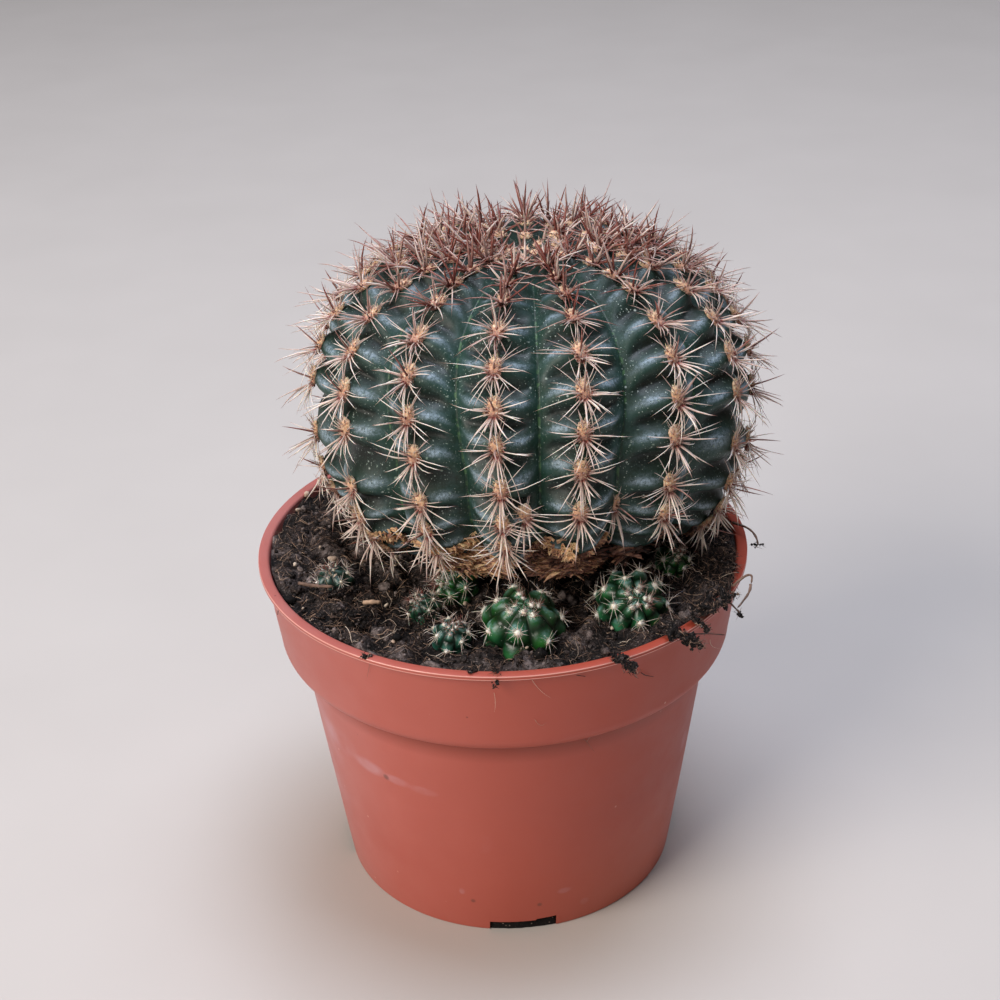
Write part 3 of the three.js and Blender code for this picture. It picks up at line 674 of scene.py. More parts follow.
loose = {
    "reach": 56.2,  # how far from the pot's axis loose peat lies
    "neckReach": 19.0,
    # count, least and greatest half size, detail
    "crumbs": [(22, 1.4, 2.5, 3), (270, 0.6, 1.5, 2), (3500, 0.2, 0.68, 1)],
    "mostlySmall": 2.5,  # power of the random share between the two sizes
    "crumbShape": (0.6, 1.1),
    "crumbRough": 0.28,
    "crumbLift": 0.35,
    "crumbTone": (0.1, 0.75),  # mean and spread, as for the other tones
    # count, lengths, radius, places along
    "fibres": [(1000, (2.0, 7.0), 0.07, 5), (4300, (0.8, 3.0), 0.06, 3)],
    "fibreBend": (0.7, 0.3),  # lift over the peat and wandering, as for the roots
    "fibreShares": (0.6, 1.3),  # of the radius
    "fibreTone": (0.47, 0.28),
    "roots": 150,
    "rootPlaces": 9,
    "rootLength": (3.0, 10.0),
    "rootRadius": 0.05,
    "rootBend": (0.8, 0.36),
    "rootShares": (0.7, 1.5),
    "rootTone": (0.6, 0.25),
    "grains": 46,
    "grainSize": (0.25, 0.7),
    "grainShape": (0.5, 1.2),
    "grainTone": (0.75, 0.2),
    "singleRoots": [  # each through three places, as the photo shows
        [(-50.2, -4.5, 88.2), (-45.4, -10.9, 88.7), (-44.9, -18.4, 88.0)],
        [(-30.2, -50.6, 86.6), (-30.8, -49.8, 83.7), (-31.4, -49.0, 80.7)],
        [(5.6, -58.7, 86.1), (7.5, -58.0, 82.7), (10.0, -57.2, 79.9)],
        [(-2.8, -58.4, 82.8), (-2.6, -58.0, 79.8), (-2.9, -57.6, 76.8)],
        [(6.1, -56.9, 74.2), (7.4, -56.6, 72.4), (8.8, -56.2, 73.0)],
        [(47.9, -32.1, 77.9), (48.8, -29.6, 74.4), (51.6, -23.2, 69.4)],
        [(16.4, -48.0, 63.2), (18.0, -47.8, 61.2), (20.2, -46.3, 56.6)],
        [(18.2, -47.7, 61.0), (18.9, -47.9, 62.4), (19.9, -47.3, 63.2)],
        [(53.9, -20.0, 89.7), (55.8, -19.6, 90.2), (57.6, -18.4, 90.0)],
        [(51.0, -24.5, 90.2), (53.6, -23.6, 90.8), (55.8, -22.9, 90.2)],
    ],
    "singleGrains": [  # centre and half sizes
        ((-51.6, 17, 88.4), (0.5, 0.5, 1.6)), ((-50.4, 26, 88.2), (0.9, 0.8, 0.7)),
        ((-40.9, -11, 90.2), (1.3, 0.7, 0.8)), ((-39.9, -19.2, 89.6), (0.8, 0.6, 1.5)),
    ],
    "seed": 404,
}


def peatSpots(count, draw):  # places on the peat, clear of the neck and of the pups
    radius = loose["reach"] * np.sqrt(draw.random(3 * count))
    turn = tau * draw.random(3 * count)
    x, y = radius * np.cos(turn), radius * np.sin(turn)
    free = np.hypot(x - ball["centre"][0], y - ball["centre"][1]) > loose["neckReach"]
    for _, _, (pupX, pupY, _), pupRadius, *_ in pups:
        free &= np.hypot(x - pupX, y - pupY) > 0.85 * pupRadius
    return x[free][:count], y[free][:count]


def makeCrumbs(material):
    draw = np.random.default_rng(loose["seed"])
    parts, rises = [], []
    for count, small, large, detail in loose["crumbs"]:
        x, y = peatSpots(count, draw)
        size = small + (large - small) * draw.random(len(x)) ** loose["mostlySmall"]
        centres = np.stack([x, y, peatSurface(x, y) + loose["crumbLift"] * size], -1)
        sizes = size[:, None] * draw.uniform(*loose["crumbShape"], (len(x), 3))
        points, faces, perLump = lumps(centres, sizes, detail, loose["crumbRough"], draw)
        parts.append((points, faces))
        rises.append(np.repeat(draw.normal(*loose["crumbTone"], len(x)), perLump))
    points, faces = together(*parts)
    addPiece("peatCrumbs", points, faces, material, {"rise": np.concatenate(rises)})


def strands(x, y, lengths, lift, wander, steps, draw):  # threads that lie on the peat and bend about
    count = len(x)
    heading = tau * draw.random(count)
    reach = mix(lengths[0], lengths[1], draw.random(count)) / (steps - 1)
    paths = np.zeros((count, steps, 3))
    rise = draw.random(count)
    for step in range(steps):
        paths[:, step] = np.stack([x, y, peatSurface(x, y) + lift * (0.4 + np.abs(rise))], -1)
        heading = heading + draw.normal(0, wander, count)
        rise = rise + draw.normal(0, 0.4, count)
        x, y = x + reach * np.cos(heading), y + reach * np.sin(heading)
        out = np.maximum(np.hypot(x, y) / loose["reach"], 1)
        x, y = x / out, y / out
    return paths


def dryFibre(name, ramp):  # dead moss stems and rootlets: thin, matt and papery
    material, tree, place, tone = newMaterial(name, ["tone"], IOR=1.5, Roughness=0.8)
    wire(tree, Base_Color=toned(tree, tone, grainy(tree, place, (1.5, 3), 0.3, 0.7, -0.15, 0.15), ramp),
         Normal=relief(tree, place, ((0.3, 3), 0.06, 0.5)))
    return material


def makeFibres(material):
    draw = np.random.default_rng(loose["seed"] + 1)
    parts, tones = [], []
    for count, lengths, radius, places in loose["fibres"]:
        x, y = peatSpots(count, draw)
        paths = strands(x, y, lengths, *loose["fibreBend"], places, draw)
        radii = radius * draw.uniform(*loose["fibreShares"], (len(x), 1))
        radii = radii * np.array([0.9] * (places - 1) + [0])
        points, faces, _, perRod = rods(paths, radii, 3)
        parts.append((points, faces))
        tones.append(tonesFor(loose["fibreTone"], len(x), perRod, draw))
    points, faces = together(*parts)
    addPiece("peatFibres", points, faces, material, {"tone": np.concatenate(tones)})


def makeFineRoots(material):
    draw = np.random.default_rng(loose["seed"] + 2)
    along = np.linspace(0, 1, loose["rootPlaces"])
    x, y = peatSpots(loose["roots"], draw)
    paths = strands(x, y, loose["rootLength"], *loose["rootBend"], len(along), draw)
    paths = np.concatenate([paths, curves(loose["singleRoots"], along)])
    radii = loose["rootRadius"] * draw.uniform(*loose["rootShares"], (len(paths), 1)) * (1 - along ** 3)
    points, faces, _, perRod = rods(paths, radii, 4)
    addPiece("fineRoots", points, faces, material,
             {"tone": tonesFor(loose["rootTone"], len(paths), perRod, draw)})


def curves(places, shares):  # points along smooth bends, each through three places
    first, middle, last = np.moveaxis(np.array(places)[:, :, None], 1, 0)
    share = np.asarray(shares)[:, None]
    ends = (1 - share) * (1 - 2 * share) * first + share * (2 * share - 1) * last
    return ends + 4 * share * (1 - share) * middle


def makeGrains(material):  # pale grains of lime and dry moss on the peat
    draw = np.random.default_rng(loose["seed"] + 3)
    x, y = peatSpots(loose["grains"], draw)
    size = draw.uniform(*loose["grainSize"], len(x))
    centres = np.stack([x, y, peatSurface(x, y) + 0.7 * size + 0.3], -1)
    sizes = size[:, None] * draw.uniform(*loose["grainShape"], (len(x), 3))
    singles, singleSizes = zip(*loose["singleGrains"])
    centres, sizes = np.concatenate([centres, singles]), np.concatenate([sizes, singleSizes])
    points, faces, perLump = lumps(centres, sizes, 2, 0.22, draw)
    addPiece("paleGrains", points, faces, material,
             {"tone": tonesFor(loose["grainTone"], len(centres), perLump, draw)})


notchShade = {
    "radii": (38.9, 42.0),
    "halfAngle": 11.6,
    "top": 2.7,
    "columns": 30,
    "rows": 6,
}


def makeNotchShade(material):  # painted shade: a black peat sheet in the channel under the pot's foot, seen through the notches
    p = notchShade
    near, far = p["radii"]
    parts = []
    for notch in range(pot["notches"]):
        middle = pot["notchAzimuth"] - 90 + notch * 360 / pot["notches"]
        angles = np.radians(middle + p["halfAngle"] * np.linspace(-1, 1, p["columns"]))
        share = np.linspace(0, 1, p["rows"])[:, None]
        height = 0.1 + p["top"] * np.cos(np.pi * share / 2) ** 0.35
        upper = onRing(mix(near, far, np.sin(np.pi * share / 2)), angles, height)
        upper = upper + 0.12 * np.stack([lumpy(upper, 0.9, seed) for seed in (1, 2, 3)], -1)
        upper[..., 2] = np.clip(upper[..., 2], 0.08, p["top"] + 0.05)
        lower = upper * [1, 1, 0] + [0, 0, 0.03]
        faces = [face[::-1] for face in sheetFaces(*upper.shape[:2])]
        parts.append((np.concatenate([upper.reshape(-1, 3), lower.reshape(-1, 3)]), faces))
    points, faces = together(*parts)
    addPiece("notchShadePeat", points, faces, material, {"rise": np.full(len(points), -1.2)})


bits = {
    "cores": [  # centre, half sizes: bark and tight peat, some of it hanging over the rim
        ((25.6, -55.0, 88.4), (1.7, 1.7, 0.8)), ((27.6, -56.6, 87.6), (1.2, 1.2, 0.9)),
        ((37.6, -45.8, 88.9), (2.6, 1.9, 0.9)), ((41.2, -47.8, 88.5), (2.2, 1.4, 0.8)),
        ((46.6, -37.0, 89.3), (3.4, 1.3, 0.6)), ((50.6, -33.4, 89.6), (2.6, 1.2, 0.6)),
        ((-34.8, -37.0, 88.3), (2.7, 2.4, 1.9)), ((-38.0, -33.0, 88.2), (1.9, 1.5, 1.1)),
    ],
    "made": (0.8, 0.85),  # of the crumbs and of the fibres counted below
    "spills": [  # three places, spread, crumbs, fibres
        (((23.8, -54.6, 88.9), (25.9, -56.6, 88.9), (28.0, -57.8, 86.8)), 0.6, 170, 110),
        (((34.5, -44.0, 89.2), (39.8, -47.9, 89.4), (43.4, -49.4, 87.4)), 0.75, 380, 240),
        (((41.6, -40.2, 89.6), (44.0, -42.2, 89.2), (45.6, -43.6, 87.8)), 0.4, 130, 80),
        (((43.4, -39.4, 89.6), (47.9, -36.8, 90.2), (53.0, -31.6, 90.0)), 0.7, 380, 260),
        (((50.0, -30.0, 89.2), (53.2, -20.5, 89.3), (54.4, -8.0, 89.3)), 0.9, 420, 560),
        (((49.0, -21.0, 89.8), (52.0, -10.0, 90.0), (52.4, 6.0, 89.8)), 1.3, 420, 620),
        (((-2.4, -56.0, 88.3), (-2.4, -58.4, 88.9), (-2.4, -60.4, 85.6)), 0.4, 60, 36),
        (((-7.0, -56.8, 88.2), (-7.4, -57.8, 88.5), (-7.8, -58.8, 88.4)), 0.35, 26, 8),
        (((-30.0, -50.4, 88.2), (-31.2, -51.0, 88.5), (-32.4, -50.8, 88.3)), 0.35, 24, 10),
        (((53.9, -32.8, 86.0), (54.4, -33.1, 85.4), (54.8, -33.3, 84.9)), 0.3, 26, 6),
        (((61.4, -6.0, 88.4), (62.0, -7.0, 88.0), (63.4, -6.6, 88.6)), 0.25, 18, 6),
        (((-38.5, -34.0, 88.6), (-34.6, -36.8, 90.6), (-30.6, -38.6, 88.6)), 1.2, 420, 130),
        (((-24.0, -29.0, 88.4), (-17.0, -36.0, 88.6), (-20.0, -44.0, 88.2)), 1.6, 260, 90),
        (((-46.0, -18.0, 87.8), (-41.6, -23.2, 88.0), (-35.6, -21.0, 88.0)), 0.8, 300, 160),
    ],
    "sticks": [  # three places, root radius, tone: twigs, wood chips and coarse roots
        (((-48.6, -19.6, 88.8), (-44.2, -21.4, 89.0), (-39.8, -22.8, 89.6)), 0.5, 0.55),
        (((-32.6, -29.6, 89.2), (-30.6, -30.3, 89.6), (-28.6, -29.8, 89.2)), 0.65, 0.92),
        (((40.8, -46.6, 89.2), (45.0, -46.4, 88.8), (49.6, -45.6, 88.0)), 0.15, 0.2),
        (((57.0, 2.0, 89.8), (61.0, -3.2, 90.2), (62.0, -7.0, 88.2)), 0.32, 0.6),
        (((53.4, -27.5, 89.6), (57.4, -25.6, 91.4), (57.8, -26.2, 89.0)), 0.3, 0.62),
        (((57.8, -26.2, 89.0), (56.8, -28.4, 87.8), (53.9, -31.9, 86.1)), 0.33, 0.58),
        (((51.6, -32.4, 88.4), (53.2, -33.2, 87.2), (54.4, -33.2, 85.6)), 0.26, 0.5),
        (((-52.9, -25.4, 86.4), (-53.2, -25.0, 84.9), (-54.0, -22.4, 81.8)), 0.11, 0.05),
        (((15.5, -56.9, 85.8), (16.4, -56.7, 85.5), (17.6, -56.0, 84.6)), 0.1, 0.05),
        (((30.3, -49.9, 81.2), (31.7, -48.8, 79.6), (33.4, -47.3, 78.3)), 0.1, 0.05),
    ],
    "coreTone": (-0.8, 0.2),
    "fibre": (0.9, 3.8, 0.065),  # least and greatest length, radius
    "fibreShares": (0.6, 1.4),
    "fibreBend": 0.12,
    "fibreTone": (0.34, 0.32),
    "crumb": (0.1, 0.46),
    "crumbShape": (0.45, 1.6),
    "crumbRough": 0.35,
    "crumbTone": (-0.5, 0.6),
    "mostlySmall": 1.6,
    "flatness": [1, 1, 0.45],
    "stickPlaces": 12,
    "stickWaves": (0.12, 1.7),  # depth and length
    "seed": 55,
}


def makeBits(peatMaterial, fibreMaterial):
    draw = np.random.default_rng(bits["seed"])
    centres, sizes = [np.array(values, float) for values in zip(*bits["cores"])]
    points, faces, perLump = lumps(centres, sizes, 4, 0.03, draw)
    middle = np.repeat(centres, perLump, axis=0)
    rough = 1 + 0.35 * lumpy(points, 1.1, 1) + 0.25 * lumpy(points, 0.5, 2)
    points = middle + (points - middle) * rough[:, None]
    rise = np.repeat(draw.normal(*bits["coreTone"], len(centres)), perLump) + 1.1 * lumpy(points, 0.5, 3)
    addPiece("barkBits", points, faces, peatMaterial, {"rise": rise})
    grains, threads = [], []
    for places, spread, crumbs, fibres in bits["spills"]:
        for counted, made, kept in zip((crumbs, fibres), bits["made"], (grains, threads)):
            count = round(made * counted)
            along = curves([places], draw.random(count))[0]
            kept.append(along + draw.normal(0, spread, (count, 3)) * bits["flatness"])
    centres, starts = np.concatenate(grains), np.concatenate(threads)
    small, large = bits["crumb"]
    sizes = small + (large - small) * draw.random((len(centres), 1)) ** bits["mostlySmall"]
    sizes = sizes * draw.uniform(*bits["crumbShape"], (len(centres), 3))
    points, faces, perLump = lumps(centres, sizes, 1, bits["crumbRough"], draw)
    rise = np.repeat(draw.normal(*bits["crumbTone"], len(centres)), perLump)
    addPiece("spilledPeat", points, faces, peatMaterial, {"rise": rise})
    short, long, radius = bits["fibre"]
    heading = unit(draw.normal(size=(len(starts), 1, 3)) * bits["flatness"])
    reach = draw.uniform(short, long, (len(starts), 1, 1)) * np.linspace(-0.5, 0.5, 4)[None, :, None]
    paths = starts[:, None] + heading * reach + draw.normal(0, bits["fibreBend"], (len(starts), 4, 3))
    radii = radius * draw.uniform(*bits["fibreShares"], (len(starts), 1)) * np.array([0.7, 1, 0.8, 0])
    points, faces, _, perRod = rods(paths, radii, 3)
    addPiece("spilledFibres", points, faces, fibreMaterial,
             {"tone": tonesFor(bits["fibreTone"], len(starts), perRod, draw)})
    steps = np.linspace(0, 1, bits["stickPlaces"])
    places, radii, tones = zip(*bits["sticks"])
    paths = curves(places, steps)
    depth, size = bits["stickWaves"]
    paths = paths + depth * np.stack([lumpy(paths, size, seed) for seed in (1, 2, 3)], -1)
    radii = np.array(radii)[:, None] * (1 - 0.3 * steps)
    radii = radii * draw.uniform(0.8, 1.2, radii.shape)
    points, faces, _, perRod = rods(paths, radii, 8)
    addPiece("twigsAndRoots", points, faces, fibreMaterial, {"tone": np.repeat(tones, perRod)})


print("peat")
dampPeat = moistPeat()
makePeatBed(dampPeat)


# The mother plant

ball = {
    "centre": (8.1, 8.0, 124.3),
    "radius": 52.2,
    "lower": (36.4, 0.9),  # half height and squareness below the middle
    "upper": (38.0, 0.8),
    "sides": (0.62, 5, 20, 70),  # lower squareness at the sides, middle of the front, where it changes
    "ribs": 15,
    "ribDepth": 5.6,
    "grooveDepth": 2.1,
    "creaseDepth": 0.5,
    "grooveAt": 0.58,  # way between two cushions, so that it is nearer the upper one
    "bulge": 0.6,
    "swellingAt": 0.26,  # share of a rib's width beside its ridge
    "highlightPlace": (0.13, 0.085),  # place and reach of the painted highlight above a cushion, as shares of the way to the next
    "grooveEnds": (0.2, 0.47),
    "creaseReaches": (0.16, 0.055),
    "shrink": 0.55,
    "smaller": (50, 72),  # latitudes between which the swellings get small
    "highlightEnds": (60, 76),
    "crownDip": 2.5,
    "crownRadius": 10.0,
    "crownSeeds": 20,  # youngest cushions, in the sunken middle of the crown
    "crownSeedReach": 10.0,
    "lowestCushions": {0: -28, 1: -10, 2: -20},  # the front ribs are corky below these latitudes
    "strayCushions": [  # rib and even latitude of cushions that stand between two ribs
        (0.28, -9.0), (1.5, -13.0), (7.55, 62), (8.5, 62), (7.6, 71), (8.45, 71),
    ],
    "lowest": -62.0,
    "neck": [(9.9, 73), (14.4, 73.6), (18, 78.5), (18, 87.5), (21, 89.9)],
    "longitudes": [-9, 10, 34, 61, 86, 110, 134, 158, 181, 204, 228, 252, 276, 306, 330],
    "areoleStarts": [0.5, 4.5, 8, 10.4, 12.9, 9, 12, 8, 11, 7, 10, 6, 8, 5.5, 6],
    "spread": 11.0,  # how far the ribs lean apart by 45 degrees of latitude
    "pitch": 11.4,
    "crowding": [(-90, -90), (18, 18), (55, 62), (100, 90)],  # even count along a rib to latitude
    "rows": (-5, 7),
    "perRib": 20,
    "perPitch": 13,
}


def crowded(even):  # latitude of an evenly counted place: the cushions crowd at the crown
    counts, latitudes = zip(*ball["crowding"])
    return np.interp(even, counts, latitudes)


def ribTurn(rib, latitude):  # angle round the axis, in radians, at a latitude in degrees
    longitudes = ball["longitudes"] + [ball["longitudes"][0] + 360]
    longitude = np.interp(rib, range(ball["ribs"] + 1), longitudes)
    lean = ball["spread"] * np.sin(np.radians(2 * longitude)) * np.maximum(latitude, 0) / 45
    return np.radians(longitude + lean - 90)


def areoleOffset(rib):  # where a rib's row of cushions starts, drawn to the next rib's in the valley
    whole = np.round(rib).astype(int)
    beside = np.where(rib < whole, whole - 1, whole + 1)
    starts = np.array(ball["areoleStarts"], float)
    return mix(starts[whole % ball["ribs"]], starts[beside % ball["ribs"]],
               ease(np.abs(rib - whole), 0.3, 0.5) / 2)


def ballOutline(latitude, turn):  # radius, height and outward direction, for two angles in radians
    p = ball
    c, s = np.maximum(np.cos(latitude), 0), np.sin(latitude)
    fuller, front, start, end = p["sides"]
    turned = np.abs((np.degrees(turn) + 90 - front + 180) % 360 - 180)
    half = np.where(s > 0, p["upper"][0], p["lower"][0])
    squareness = np.where(s > 0, p["upper"][1], mix(p["lower"][1], fuller, ease(turned, start, end)))
    rho = p["radius"] * c ** squareness
    height = half * np.sign(s) * np.abs(s) ** squareness
    outR = c ** (2 - squareness) / p["radius"]
    outZ = np.sign(s) * np.abs(s) ** (2 - squareness) / half
    size = np.hypot(outR, outZ)
    return rho, height, outR / size, outZ / size


def ballSurface(rib, even):  # points on the skin, with what its colours need
    p = ball
    degrees = crowded(even)
    latitude = np.radians(degrees)
    turn = ribTurn(rib, degrees)
    rho, height, outR, outZ = ballOutline(latitude, turn)
    across = np.abs(rib - np.round(rib))
    fade = np.maximum(rho / p["radius"], 0) ** 0.7 * ease(latitude, math.radians(-78), math.radians(-35))
    phase = ((even - areoleOffset(rib)) / p["pitch"]) % 1.0
    highlightAt, highlightReach = p["highlightPlace"]
    upper = np.exp(-((((phase - highlightAt + 0.5) % 1 - 0.5) / highlightReach) ** 2))  # the slope that faces up
    groove = p["grooveAt"]
    phase = np.where(phase < groove, phase / groove, 1 + (phase - groove) / (1 - groove)) / 2
    between = (1 - np.cos(tau * phase)) / 2
    reach = 1 - ease(across, *p["grooveEnds"])
    crease = sum(np.exp(-((phase - 0.5) / wide) ** 2) for wide in p["creaseReaches"]) / 2
    young = 1 - p["shrink"] * ease(degrees, *p["smaller"])
    groove = p["grooveDepth"] * between ** 1.3 * reach
    groove = young * (groove + p["creaseDepth"] * crease * (1 - ease(across, 0.3, 0.5)))
    flank = p["bulge"] * young * (1 - between) ** 1.2 * np.exp(-((across - p["swellingAt"]) / 0.12) ** 2)
    inward = fade * (p["ribDepth"] * (2 * across) ** 1.6 + groove - flank)
    dip = np.where(latitude > 0, p["crownDip"] * np.exp(-((rho / p["crownRadius"]) ** 2)), 0)
    r = np.maximum(rho - outR * inward, 0)
    points = p["centre"] + onRing(r, turn, height - outZ * inward - dip)
    highlightBand = np.exp(-((across - p["swellingAt"]) / 0.125) ** 2) * (1 - ease(degrees, *p["highlightEnds"]))
    marks = {
        "crest": (1 - between) * fade,
        "crease": crease * reach * fade,
        "across": across,
        "bloom": highlightBand * mix(0.04, 1, upper) * fade,
    }
    return points, marks


def outwardOf(rib, even):
    turn = ribTurn(rib, crowded(even))
    _, _, outR, outZ = ballOutline(np.radians(crowded(even)), turn)
    return onRing(outR, turn, outZ)


def waxyCuticle():  # thick green epidermis: satin, with painted highlights on the swellings and painted shade in the grooves
    material, tree, place, crest, crease, across, bloom = newMaterial(
        "waxy cactus cuticle", ["crest", "crease", "across", "bloom"], IOR=1.4, Coat_Weight=0.06,
        Coat_Roughness=0.35)
    mottle = (3.2, 5, 0.65)
    base = paint(
        # painted shade: the crest mark darkens the grooves between cushions, and the skin where the ribs fade
        # out at the foot and the crown
        tree, addNode(tree, "ValToRGB", {0: crest}, [(0.0, "#06120C"), (0.4, "#0C241A"), (1.0, "#17382C")]),
        (grainy(tree, place, mottle, 0.35, 0.7, 0, 0.6), "#183529"),
        ((across, 0.36, 0.47, 0, 0.45), "#1A3D30"),
        ([grainy(tree, place, (0.8, 6, 0.95), 0.4, 0.58), bloom, 0.95], "#B2C7DA"),  # painted highlight of a bluish light on the upward slopes, speckled like a frost of wax
        ([grainy(tree, place, (4.5, 5, 0.7), 0.42, 0.66), (across, 0.1, 0.3), 0.22], "#4A6A6C"),
        ((across, 0.48, 0.494, 0, 0.6), "#0C2317"),  # the valley, with a broken light line beside it
        ([(across, 0.478, 0.488), grainy(tree, place, (1.4, 4), 0.5, 0.64), 0.3], "#6A9A5E"),
        # painted shade in the creases between the swellings
        ([crease, 0.95], "#030805"),
    )
    dusty = grainy(tree, place, (6, 3), 0.38, 0.6, 0.15, 1)
    for spacing, size, share in ((0.7, 0.14, 0.6), (1.5, 0.21, 0.6), (3.4, 0.34, 0.45)):  # lime, dust
        base = paint(tree, base, ([spots(tree, place, spacing, size, share), dusty, 0.8], "#C6D6CE"))
    drawn = addNode(tree, "Mapping", {"Vector": place, "Rotation": (0.6, 0.4, 0.9), "Scale": (1, 5, 1)})
    base = paint(tree, base, ([grainy(tree, place, (0.55, 4, 0.8), 0.6, 0.68), dusty, 0.5], "#8FA79C"),
                 ([spots(tree, drawn, 2.6, 0.45, 0.5), 0.6], "#9FB5A6"))  # short pale scars
    wire(tree, Base_Color=base, Roughness=grainy(tree, place, mottle, 0.3, 0.7, 0.42, 0.6),
         Normal=relief(tree, place, ((2.4, 3), 0.3, 0.35), ((0.45, 3, 0.6), 0.08, 0.5)))
    return material


def makeBallSkin():
    p = ball
    columns = p["ribs"] * p["perRib"]
    rib = np.arange(columns) / p["perRib"]
    rib = rib + 0.09 * np.sin(tau * rib)  # columns closer together in the valleys
    turn = ribTurn(rib, 0)
    x, y, _ = p["centre"]
    rows = [onRing(r, turn, z) + [x, y, 0] for r, z in p["neck"]]
    marks = {}
    counts = []
    lowEnd = areoleOffset(rib) + p["rows"][0] * p["pitch"]
    for share in np.linspace(0, 1, 8)[:-1]:
        counts.append(mix(np.full(columns, p["lowest"]), lowEnd, share))
    span = p["rows"][1] - p["rows"][0]
    for row in np.linspace(*p["rows"], span * p["perPitch"] + 1):
        counts.append(areoleOffset(rib) + row * p["pitch"])
    even = np.stack(counts)
    skin, skinMarks = ballSurface(np.broadcast_to(rib, even.shape), even)
    skin = skin + lumpy(skin, 11, 3)[..., None] * 0.3 * unit(skin - p["centre"])
    top, topMarks = ballSurface(np.array([0.0]), np.array([float(p["crowding"][-1][0])]))
    neckPoints = np.concatenate(rows)
    points = np.concatenate([[[x, y, p["neck"][0][1]]], neckPoints, skin.reshape(-1, 3), top])
    for name, values in skinMarks.items():
        marks[name] = np.concatenate([np.zeros(1 + len(neckPoints)), values.ravel(), topMarks[name]])
    faces = turnedFaces(len(p["neck"]) + len(even), columns)
    addPiece("cactusSkin", points, faces, waxyCuticle(), marks, ["cactus_body"])


print("cactus skin")
makeBallSkin()


# Dry corky skin at the foot of the ball: papery layers that lift off the old ribs

dryTissue = {
    # first and last rib, lower and upper place along them, flakes, tone, width and height of a flake
    "onSkin": [
        (13.5, 14.95, -45, -36, 170, 0.3, (1.5, 4.0), (0.5, 1.2)),
        (13.65, 14.5, -36, -25, 160, 0.9, (1.0, 3.2), (0.5, 1.4)),
        (0.25, 1.3, -45, -32, 230, 0.35, (2.0, 6.0), (0.4, 0.9)),
        (0.55, 1.0, -32, -23, 60, 0.92, (0.8, 2.4), (0.6, 1.6)),
        (1.0, 1.5, -36, -29, 60, 0.85, (1.0, 3.0), (0.5, 1.2)),
        (0.3, 0.6, -34, -29, 40, 0.7, (1.0, 2.4), (0.5, 1.2)),
        (1.75, 2.75, -44, -38, 90, 0.45, (1.5, 4.0), (0.5, 1.1)),
        (13.1, 13.4, -37, -23, 60, 0.85, (0.7, 2.0), (0.6, 1.6)),
        (12.5, 13.2, -47, -42, 50, 0.35, (1.5, 3.5), (0.5, 1.2)),
        (3.0, 12.4, -50, -44, 230, 0.3, (2.5, 6.0), (0.7, 1.5)),
    ],
    "skirt": [  # first and last rib, radius and height at its lower edge, flakes, tone
        (0.4, 1.25, 37.5, 95.5, 260, 0.5), (13.95, 14.9, 38.0, 95.5, 260, 0.74),
        (1.3, 2.0, 35.0, 95.0, 70, 0.2),
    ],
    "lift": (0.1, 0.9),
    "thickness": 0.18,
    "tilt": 16.0,
    "seed": 91,
}


def corkLayers():  # dead corky skin: dry and matt, in torn horizontal layers from brown to tan
    material, tree, place, tone = newMaterial("dry corky skin", ["tone"], IOR=1.5, Subsurface_Weight=0.08,
                                              Subsurface_Scale=0.0006)
    layered = addNode(tree, "Mapping", {"Vector": place, "Scale": (1, 1, 5)})
    streak = (2.2, 5, 0.7)
    base = toned(tree, tone, grainy(tree, layered, streak, 0.32, 0.68, -0.4, 0.4), [
        (0.0, "#2A1B16"), (0.3, "#6C4A40"), (0.55, "#9C7262"), (0.78, "#D2A37E"), (1.0, "#EECB9E")])
    wire(tree, Base_Color=base, Roughness=grainy(tree, layered, streak, 0.3, 0.7, 0.55, 0.85),
         Normal=relief(tree, layered, (streak, 0.4, 0.8)))
    return material


def flakes(middles, outs, widths, heights, curl, draw):  # closed torn scraps, curled at their ends
    along, up = np.meshgrid(np.linspace(-1, 1, 4), np.linspace(-1, 1, 3))
    count = len(middles)
    side, rise = sideAndUp(outs)
    turn = np.radians(draw.normal(0, dryTissue["tilt"], count))[:, None]
    side, rise = side * np.cos(turn) + rise * np.sin(turn), rise * np.cos(turn) - side * np.sin(turn)
    torn = 1 - 0.4 * np.abs(along) ** 3 + draw.normal(0, 0.24, (count, *along.shape))
    across = along + draw.normal(0, 0.09, torn.shape)
    lift = draw.uniform(0, curl, (count, 1, 1)) * along ** 2 + draw.uniform(-0.3, 0.5, (count, 1, 1)) * up
    lift = (lift + draw.normal(0, 0.09, torn.shape))[..., None]
    outer = middles[:, None, None] + side[:, None, None] * (across * widths[:, None, None] / 2)[..., None]
    outer = outer + rise[:, None, None] * (up * torn * heights[:, None, None] / 2)[..., None]
    outer = outer + outs[:, None, None] * lift
    inner = outer - outs[:, None, None] * dryTissue["thickness"]
    points = np.concatenate([outer.reshape(count, -1, 3), inner.reshape(count, -1, 3)], 1)
    one, half = sheetFaces(*along.shape), along.size
    faces = [[2 * half * flake + corner for corner in face] for flake in range(count) for face in one]
    return points.reshape(-1, 3), faces, 2 * half


